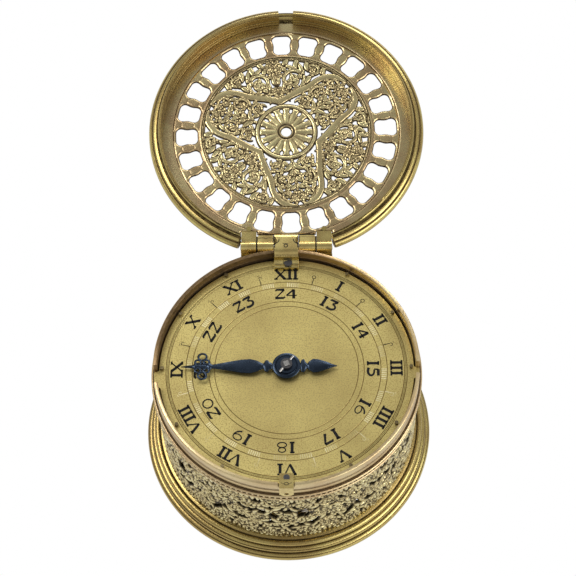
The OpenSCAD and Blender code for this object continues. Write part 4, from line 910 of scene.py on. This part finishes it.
def addDialPlate(v):
    # turned profile with a shallow groove at each circle, drawn out to the two ears at its sides
    top, low, g = v["top"], v["top"] - v["thick"], v["groove"]
    pts = [[v["bore"], low], [v["bore"], top - 0.1], [v["bore"] + 0.08, top]]
    for r in v["circles"]:
        pts += [[r - g - 0.25, top], [r - g, top], [r - g * 0.35, top - v["depth"]],
                [r + g * 0.35, top - v["depth"]], [r + g, top], [r + g + 0.25, top]]
    pts += [[v["radius"] - 0.12, top], [v["radius"], top - 0.12], [v["radius"], low]]
    p = np.array(pts)
    soilAndShade = np.where(p[:, 1] == top - v["depth"], 0.6, 0.0)
    angles = np.linspace(0, 2 * math.pi, v["columns"], endpoint=False)
    beside = atEar(np.cos(angles), v["radius"] * np.sin(angles), v["ears"])
    ear = np.where(beside, v["earR"] - v["radius"], 0)[:, None] * (p[:, 0] > v["radius"] - 0.2)[None, :]
    me = turned("dialPlate", p, angles, soilAndShade, shift=ear)
    me.transform(Matrix.Translation((0, v["shiftY"] * mm, 0)))
    addPiece("dialPlate", me, "giltDial", "movement", "gilt_dial", "dial_plate")


addDialPlate(dial)


def ribbons(name, strips, top, thick):
    # each strip is (path, width at its start, width at its end): half the width to either side, square to
    # the path, and closed as a low bar
    cos, quads, base = [], [], 0
    for path, w0, w1 in strips:
        path = np.asarray(path, float)
        way = np.gradient(path, axis=0)
        way /= np.maximum(np.hypot(way[:, 0], way[:, 1])[:, None], 1e-9)
        side = np.stack([-way[:, 1], way[:, 0]], 1) * (np.linspace(w0, w1, len(path)) / 2)[:, None]
        n = len(path)
        rings = np.zeros((n, 4, 3))
        for k, (sign, z) in enumerate(((1, top), (-1, top), (-1, top - thick), (1, top - thick))):
            rings[:, k, :2] = path + sign * side
            rings[:, k, 2] = z
        cos.append(rings.reshape(-1, 3))
        q = loopQuads(n, 4, closeRows=False)
        ends = np.array([[3, 2, 1, 0], [4 * n - 4, 4 * n - 3, 4 * n - 2, 4 * n - 1]])
        quads.append(np.concatenate([q, ends]) + base)
        base += 4 * n
    return quadMesh(name, np.concatenate(cos), np.concatenate(quads))


def engraveAndShade(name, strips, top, finish, body, slotName, thick=0.05):
    # cut lines, and the painted shadow lines beside the strap, drawn as bars that stand just proud of a face
    addPiece(name, ribbons(name, strips, top, thick), finish, body, slotName)


# strokes of the numerals on a square one unit tall: path, width at the start and at the end
thick, thin = 0.26, 0.16
figures = {
    "1": [([(0.3, 0.03), (0.3, 0.97)], thick, thick), ([(0.16, 0.97), (0.42, 0.97)], thin, thin),
          ([(0.16, 0.03), (0.44, 0.03)], thin, thin)],
    "2": [([(0.04, 0.8), (0.1, 0.95), (0.55, 0.95)], thin, thick), ([(0.55, 0.95), (0.06, 0.08)], thin, 0.1),
          ([(0.02, 0.08), (0.5, 0.08), (0.6, 0.2)], thick, thin)],
    "3": [([(0.04, 0.84), (0.1, 0.95), (0.52, 0.95)], thin, thick), ([(0.52, 0.95), (0.26, 0.6)], thin, thin),
          (bow(0.24, 0.31, 0.28, 0.29, 85, -140), thin, thick)],
    "4": [([(0.44, 0.97), (0.44, 0.02)], thick, thick), ([(0.44, 0.97), (0.02, 0.34)], thin, thin),
          ([(0.02, 0.34), (0.62, 0.34)], 0.1, 0.1)],
    "5": [([(0.12, 0.94), (0.54, 0.94)], thick, thick), ([(0.14, 0.94), (0.12, 0.58)], thin, thin),
          (bow(0.24, 0.31, 0.28, 0.28, 110, -140), thin, thick)],
    "6": [(bow(0.3, 0.3, 0.25, 0.27, 0, 360, 24), 0.11, 0.11),
          (bow(0.52, 0.36, 0.47, 0.6, 180, 105), 0.13, thin)],
    "7": [([(0.04, 0.8), (0.08, 0.93), (0.56, 0.93)], thin, thick),
          ([(0.56, 0.93), (0.26, 0.02)], thin, thick)],
    "8": [(bow(0.3, 0.73, 0.2, 0.22, 0, 360, 22), 0.1, 0.1),
          (bow(0.3, 0.26, 0.25, 0.24, 0, 360, 24), 0.11, 0.11)],
    "9": [(bow(0.3, 0.7, 0.25, 0.27, 0, 360, 24), 0.11, 0.11),
          (bow(0.08, 0.64, 0.47, 0.6, 0, -75), 0.13, thin)],
    "0": [(bow(0.32, 0.5, 0.27, 0.44, 0, 360, 28), 0.13, 0.13)],
    "I": [([(0.18, 0.05), (0.18, 0.95)], 0.25, 0.25), ([(0.01, 0.96), (0.35, 0.96)], thin, thin),
          ([(0.01, 0.04), (0.35, 0.04)], thin, thin)],
    "V": [([(0.06, 0.96), (0.37, 0.03)], 0.25, 0.2), ([(0.66, 0.96), (0.37, 0.03)], 0.13, 0.1),
          ([(-0.04, 0.96), (0.2, 0.96)], thin, thin), ([(0.54, 0.96), (0.78, 0.96)], thin, thin)],
    "X": [([(0.08, 0.96), (0.66, 0.04)], 0.25, 0.25), ([(0.66, 0.96), (0.08, 0.04)], 0.12, 0.12),
          ([(-0.02, 0.96), (0.2, 0.96)], thin, thin), ([(0.55, 0.96), (0.77, 0.96)], thin, thin),
          ([(-0.02, 0.04), (0.2, 0.04)], thin, thin), ([(0.55, 0.04), (0.77, 0.04)], thin, thin)],
}
advance = {"I": 0.37, "V": 0.78, "X": 0.78, "1": 0.56, "4": 0.7}  # widths of the signs, 0.66 for the others
roman = ["XII", "I", "II", "III", "IIII", "V", "VI", "VII", "VIII", "IX", "X", "XI"]


def onDial(path, angle, foot):
    # across runs clockwise and up runs outwards, at an angle counted clockwise from twelve
    path = np.asarray(path, float)
    a = math.radians(90 - angle)
    out, across = np.array([math.cos(a), math.sin(a)]), np.array([math.sin(a), -math.cos(a)])
    return (foot + path[:, 1:]) * out + path[:, :1] * across + [0, dial["shiftY"]]


def wordStrips(word, angle, foot, tall, wide):
    # the signs' strokes side by side, centred on the angle, scaled by tall and stretched by wide
    widths = [advance.get(c, 0.66) for c in word]
    at, strips = -sum(widths) / 2, []
    for c, width in zip(word, widths):
        for path, w0, w1 in figures[c]:
            path = (np.asarray(path, float) + [at, 0]) * tall * [wide, 1]
            strips.append((onDial(path, angle, foot), w0 * tall, w1 * tall))
        at += width
    return strips


def addDialWork(v):
    # Roman hours, Arabic 13 to 24, six divisions in each half hour, and a small sign at each half hour
    ink, cut, marks = [], [], []
    for h in range(12):
        ink += wordStrips(roman[h], h * 30, v["romanFoot"], v["romanTall"], v["romanWide"])
        ink += wordStrips(str(12 + (h or 12)), h * 30, v["arabicFoot"], v["arabicTall"], v["arabicWide"])
    for k in range(24):
        for j in range(6):
            a = k * 15 + v["scaleStart"] + j * v["scaleStep"]
            cut.append((onDial([(0, 0), (0, v["scaleTall"])], a, v["scaleFoot"]), 0.17, 0.17))
    for h in range(12):
        a, foot = h * 30 + 15, v["halfFoot"]
        strips = cut if 90 < a < 270 else marks  # the lower ones are drawn pale, the upper ones black
        strips.append((onDial([(0, 0), (0, 1.6)], a, foot), 0.2, 0.17))
        if a in v["ringed"]:
            strips.append((onDial(bow(0, 2.05, 0.42, 0.4, -90, 270, 18), a, foot), 0.16, 0.16))
        else:
            strips.append((onDial(bow(0.3, 1.75, 0.36, 0.36, 190, -60, 14), a, foot), 0.16, 0.1))
            strips.append((onDial([(-0.35, 2.35), (0.1, 2.55)], a, foot), 0.12, 0.07))
    for name, strips, finish in (("dialNumerals", ink, "blackWaxAndShade"), ("dialScale", cut, "brightCut"),
                                 ("dialHalfHours", marks, "blackWaxAndShade")):
        engraveAndShade(name, strips, v["top"] + 0.018, finish, "movement", "gilt_dial")


addDialWork(dial)
print("dial ready")

# hour hand, forged and filed to a ridge; blade and tail are (distance from the centre, half width)
hand = {"low": 32.4, "thick": 0.6, "hub": 3.2, "bore": 1.32,
        "blade": [(2.5, 0.6), (3.2, 0.5), (3.5, 1.1), (3.8, 0.6), (4.1, 1.5), (4.75, 1.5), (5.05, 0.6),
                  (5.5, 0.7), (6.6, 1.4), (8.2, 1.8), (10.2, 1.65), (12.6, 1.2), (15.0, 0.75), (16.8, 0.45),
                  (17.3, 1.0), (17.8, 0.5), (19.2, 0.5), (20.0, 0.45), (20.5, 0.9), (21.0, 0.4),
                  (22.4, 0.24), (23.7, 0.06)],
        "tail": [(2.5, 0.6), (3.1, 0.55), (3.4, 1.5), (3.95, 1.75), (4.35, 0.8), (4.7, 0.55), (5.1, 1.1),
                 (6.1, 1.75), (7.2, 1.6), (8.8, 1.05), (10.2, 0.45), (11.4, 0.06)],
        # open rings of the blade's tip, one set on either side: x, y, radius, wire, squash
        "trefoil": [(-18.9, 2.35, 0.85, 0.24, 1.1), (-18.0, 1.05, 0.55, 0.22, 1.2),
                    (-19.9, 1.05, 0.55, 0.22, 1.2)],
        "square": 0.62, "squareTurn": 20, "squareZ": (33.8, 34.12)}


def tapered(points, way, z0, thick, n=120):
    # half width along a line, swept with a ridged section; way is -1 or 1 along X
    p = np.array(points)
    s = np.linspace(p[0, 0], p[-1, 0], n)
    w = np.interp(s, p[:, 0], p[:, 1])
    w[1:-1] = (w[:-2] + 2 * w[1:-1] + w[2:]) / 4
    side = np.array([-1, -0.98, -0.45, 0, 0.45, 0.98, 1, 0.9, -0.9])
    rise = np.array([0.35, 0.6, 0.88, 1, 0.88, 0.6, 0.35, 0, 0])
    co = np.zeros((n, len(side), 3))
    co[:, :, 0] = way * s[:, None]
    co[:, :, 1] = w[:, None] * side
    co[:, :, 2] = z0 + thick * rise * np.clip(0.55 + w[:, None] * 0.5, 0, 1)
    k = len(side)
    ends = [list(range(k)), [(n - 1) * k + i for i in range(k)]]
    return co.reshape(-1, 3), loopQuads(n, k, closeRows=False), ends


def slab(outline, z0, z1, soft=0.09):
    # flat plate with eased edges: the outline carried up through four rings, the first and last drawn in
    p = np.asarray(outline, float)
    mid = p.mean(0)
    inset = 1 - soft / np.maximum(np.hypot(*(p - mid).T), 1e-6)[:, None]
    inner = mid + (p - mid) * inset
    soft = min(soft, (z1 - z0) / 3)
    rings = [(inner, z0), (p, z0 + soft), (p, z1 - soft), (inner, z1)]
    co = np.stack([np.column_stack([q, np.full(len(q), z)]) for q, z in rings])
    n = len(p)
    ends = [list(range(n)), [3 * n + i for i in range(n)]]
    return co.reshape(-1, 3), loopQuads(4, n, closeRows=False), ends


def joinShells(name, parts):
    # several closed bodies in one mesh; each is (points, quads, polygons that close its ends)
    cos, faces, base = [], [], 0
    for co, quads, ends in parts:
        cos.append(co)
        faces += (quads + base).tolist() + [[i + base for i in e] for e in ends]
        base += len(co)
    me = bpy.data.meshes.new(name)
    me.from_pydata((np.concatenate(cos) * mm).tolist(), [], faces)
    bm = bmesh.new()
    bm.from_mesh(me)
    bmesh.ops.recalc_face_normals(bm, faces=bm.faces)
    for f in bm.faces:
        f.smooth = True
    bm.to_mesh(me)
    bm.free()
    me.set_sharp_from_angle(angle=math.radians(35))
    return me


def lathe(profile, n, cx=0, cy=0, squash=1):
    # (cx + r cos a squash, cy + r sin a, z) for a closed profile of radius and height
    p = np.asarray(profile, float)
    a = np.arange(n) * 2 * math.pi / n
    co = np.stack([cx + p[None, :, 0] * np.cos(a)[:, None] * squash, cy + p[None, :, 0] * np.sin(a)[:, None],
                   np.tile(p[:, 1], (n, 1))], -1)
    return co.reshape(-1, 3), loopQuads(n, len(p)), []


def hoopAt(cx, cy, r, w, z, squash=1):
    # ring of round wire lying flat: a circle of radius w carried round at radius r
    a = np.radians(np.arange(0, 360, 30))
    return lathe(np.stack([r + w * np.cos(a), z + w * np.sin(a)], 1), 28, cx, cy, squash)


def addHand(v):
    # blade and tail on either side of a turned hub, a trefoil of rings near the tip, and the square end of
    # the pipe that shows in the hub
    z0, z1, hub = v["low"], v["low"] + v["thick"], v["hub"]
    boss = [[v["bore"], z0], [v["bore"], z1], [2.3, z1], [2.4, z1 - 0.1], [2.5, z1], [3.0, z1],
            [3.15, z1 - 0.1], [hub, z1 - 0.28], [hub, z0 + 0.1], [hub - 0.1, z0]]
    parts = [tapered(v["blade"], -1, z0, v["thick"]), tapered(v["tail"], 1, z0, v["thick"]), lathe(boss, 72)]
    for side in (-1, 1):
        for x, y, r, wire, squash in v["trefoil"]:
            parts.append(hoopAt(x, side * y, r, wire, z0 + 0.3, squash))
    addPiece("hourHand", joinShells("hourHand", parts), "bluedSteel", "hand", "blued_steel", "hour_hand")
    turn, h = math.radians(v["squareTurn"]), v["square"]
    c, s = math.cos(turn), math.sin(turn)
    square = [(x * c - y * s, x * s + y * c) for x, y in ((-h, -h), (h, -h), (h, h), (-h, h))]
    end = joinShells("pipeSquare", [slab(square, *v["squareZ"], 0.06)])
    addPiece("pipeSquare", end, "ironSteel", "hand", "blued_steel")


addHand(hand)
print("hand ready")

# hinge and catch: wings that fill the hinge beside the strap, black painted shade in its joints, engraved
# lines and painted shadow lines
hinge = {"inner": 2.9, "outer": 6.8, "lug": 7.08, "front": 31.4, "back": 34.7, "low": 32.0, "high": 32.75,
         "pin": 0.62, "strapTop": 35.25, "strapHalf": 2.8, "foot": 33.1, "ring": (-0.1, 30.2),
         "catchTop": 34.242}


def knuckle(x0, x1, r):
    # short tube round the hinge pin: a turned profile laid along X
    pin = hinge["pin"]
    profile = [[pin, x0], [r - 0.1, x0], [r, x0 + 0.08], [r, x1 - 0.08], [r - 0.1, x1], [pin, x1]]
    co, quads, ends = lathe(profile, 40)
    co = np.stack([co[:, 2], size["hingeY"] + co[:, 0], size["hingeZ"] + co[:, 1]], 1)
    return co, quads, ends


def addWings(v):
    # a flat plate and a knuckle on either side of the strap, with black pieces in the joints next to them as
    # painted shade
    parts, gapShade = [], []
    x0, x1, y0, y1 = v["inner"], v["outer"], v["front"], v["back"]
    for side in (-1, 1):
        for a, b in ((x1, v["lug"]), (v["strapHalf"] + 0.03, x0)):
            box = [(a, y0), (b, y0), (b, y1 - 0.3), (a, y1 - 0.3)]
            gapShade.append(slab([(side * x, y) for x, y in box], v["low"] + 0.1, v["high"] - 0.08, 0.01))
        gapShade.append(knuckle(*sorted((side * x1, side * v["lug"])), 1.3))
        outline = [(x0, y0), (x1, y0), (x1, y1 - 0.3), (x1 - 0.3, y1), (x0 + 0.3, y1), (x0, y1 - 0.3)]
        parts.append(slab([(side * x, y) for x, y in outline], v["low"], v["high"]))
        parts.append(knuckle(*sorted((side * 6.4, side * x1)), 1.4))
    addPiece("hingeWings", joinShells("hingeWings", parts), "giltStrap", "case", "gilt_plate")
    x = np.linspace(-6.6, -3.1, 40)
    wave = np.stack([x, 33.75 + 0.22 * np.abs(np.sin((x + 3.1) * 1.8))], 1)
    lines = [(wave, 0.16, 0.16), ([(3.2, 34.2), (6.6, 34.2)], 0.1, 0.1)]
    engraveAndShade("hingeEngraving", lines, v["high"] + 0.015, "brownCut", "case", "gilt_plate")
    # painted shadows: black bars on the wings along both sides of the strap
    sides = [([(x, y0 + 0.1), (x, y1 - 0.1)], 0.2, 0.2) for x in (-3.0, 3.0)]
    engraveAndShade("wingShadows", sides, v["high"] + 0.012, "blackWaxAndShade", "case", "gilt_plate")
    # painted shade: black slabs and rings fill the joints where the wings meet the lid's lugs and the strap
    addPiece("hingeGapShade", joinShells("hingeGapShade", gapShade), "blackWaxAndShade", "case", "gilt_plate")


def addStrap(v):
    # the strap's side outline (y, z) carried across in x, with its rear shoulders cut back in hollow curves
    # and its two side faces drawn in a little to ease the edges
    hy, hz, w, top = size["hingeY"], size["hingeZ"], v["strapHalf"], v["strapTop"]
    p = np.concatenate([
        [[25.8, 31.62], [25.8, 32.5], [25.88, 32.62], [26.2, 32.68], [26.28, 32.75], [26.3, 33.0],
         [26.38, 33.1], [27.2, 33.1], [27.5, 33.15]], arcPath(29.5, 33.35, 1.9, 178, 96, 12),
        [[30.2, top], [31.0, top], [31.8, top], [32.4, top], [33.0, 35.2]],
        arcPath(hy, hz, 3.15, 52, 38, 4), [[33.4, 34.36], [32.5, 34.36], [32.2, 34.3]],
        arcPath(hy, hz, 1.4, 35, -215, 20), [[30.1, 34.3], [29.9, 34.36], [29.4, 34.3]],
        arcPath(29.5, 33.35, 1.0, 130, 178, 6), [[28.3, 33.0], [28.3, 31.62]]])
    t = np.concatenate([[-1, -0.985], np.linspace(-0.97, 0.97, 9), [0.985, 1]])
    plate = (p[:, 1] > 34.2) & (p[:, 0] > 30.3)
    half = w - np.where(plate, 0.75 * np.clip(1 - np.abs(p[:, 0] - 31.7) / 1.3, 0, 1) ** 0.5, 0)
    mid = np.array([29.6, 33.9])
    trim = np.where(np.abs(t) > 0.99, 0.06, 0)[:, None, None]
    yz = p[None] + trim * (mid - p)[None] / np.hypot(*(mid - p).T)[None, :, None]
    co = np.concatenate([t[:, None, None] * half[None, :, None], yz], 2)
    k = len(p)
    ends = [list(range(k)), [(len(t) - 1) * k + i for i in range(k)]]
    me = joinShells("hingeStrap", [(co.reshape(-1, 3), loopQuads(len(t), k, closeRows=False), ends)])
    addPiece("hingeStrap", me, "giltStrap", "movement", "gilt_dial", "hinge_strap")


def addEngraving(v):
    # a ring and a stroke on the strap with lines along its sides, and lines on its foot and on the catch
    w = v["strapHalf"]
    rx, ry = v["ring"]
    lines = [(bow(rx, ry, 0.42, 0.4, 0, 360, 18), 0.2, 0.2),
             ([(rx - 0.7, ry + 0.6), (rx + 0.6, ry + 0.5)], 0.13, 0.1)]
    for side in (-1, 1):
        lines.append(([(side * (w - 0.12), 29.7), (side * (w - 0.12), 30.8)], 0.2, 0.2))
        lines.append((bow(side * (w - 0.14), 32.0, 1.0, 1.15, 270, 180 if side > 0 else 360, 12), 0.2, 0.2))
    engraveAndShade("strapEngraving", lines, v["strapTop"] + 0.012, "blackWaxAndShade", "movement", "gilt_dial")
    foot = [([(-w + 0.05, 26.5), (w - 0.05, 26.5)], 0.16, 0.16),
            (bow(0.4, 26.9, 1.12, 1.12, 30, 330, 24), 0.16, 0.1)]
    engraveAndShade("footEngraving", foot, v["foot"] + 0.014, "blackWaxAndShade", "movement", "gilt_dial")
    tail = [(bow(0, -29.4, 0.5, 0.28, 0, 360, 16), 0.14, 0.14), ([(-1.2, -29.15), (-0.6, -29.4)], 0.12, 0.06),
            ([(1.2, -29.15), (0.6, -29.4)], 0.12, 0.06)]
    engraveAndShade("catchEngraving", tail, v["catchTop"], "blackWaxAndShade", "movement", "gilt_dial", 0.04)


addWings(hinge)
addStrap(hinge)
addEngraving(hinge)
print("hinge ready")
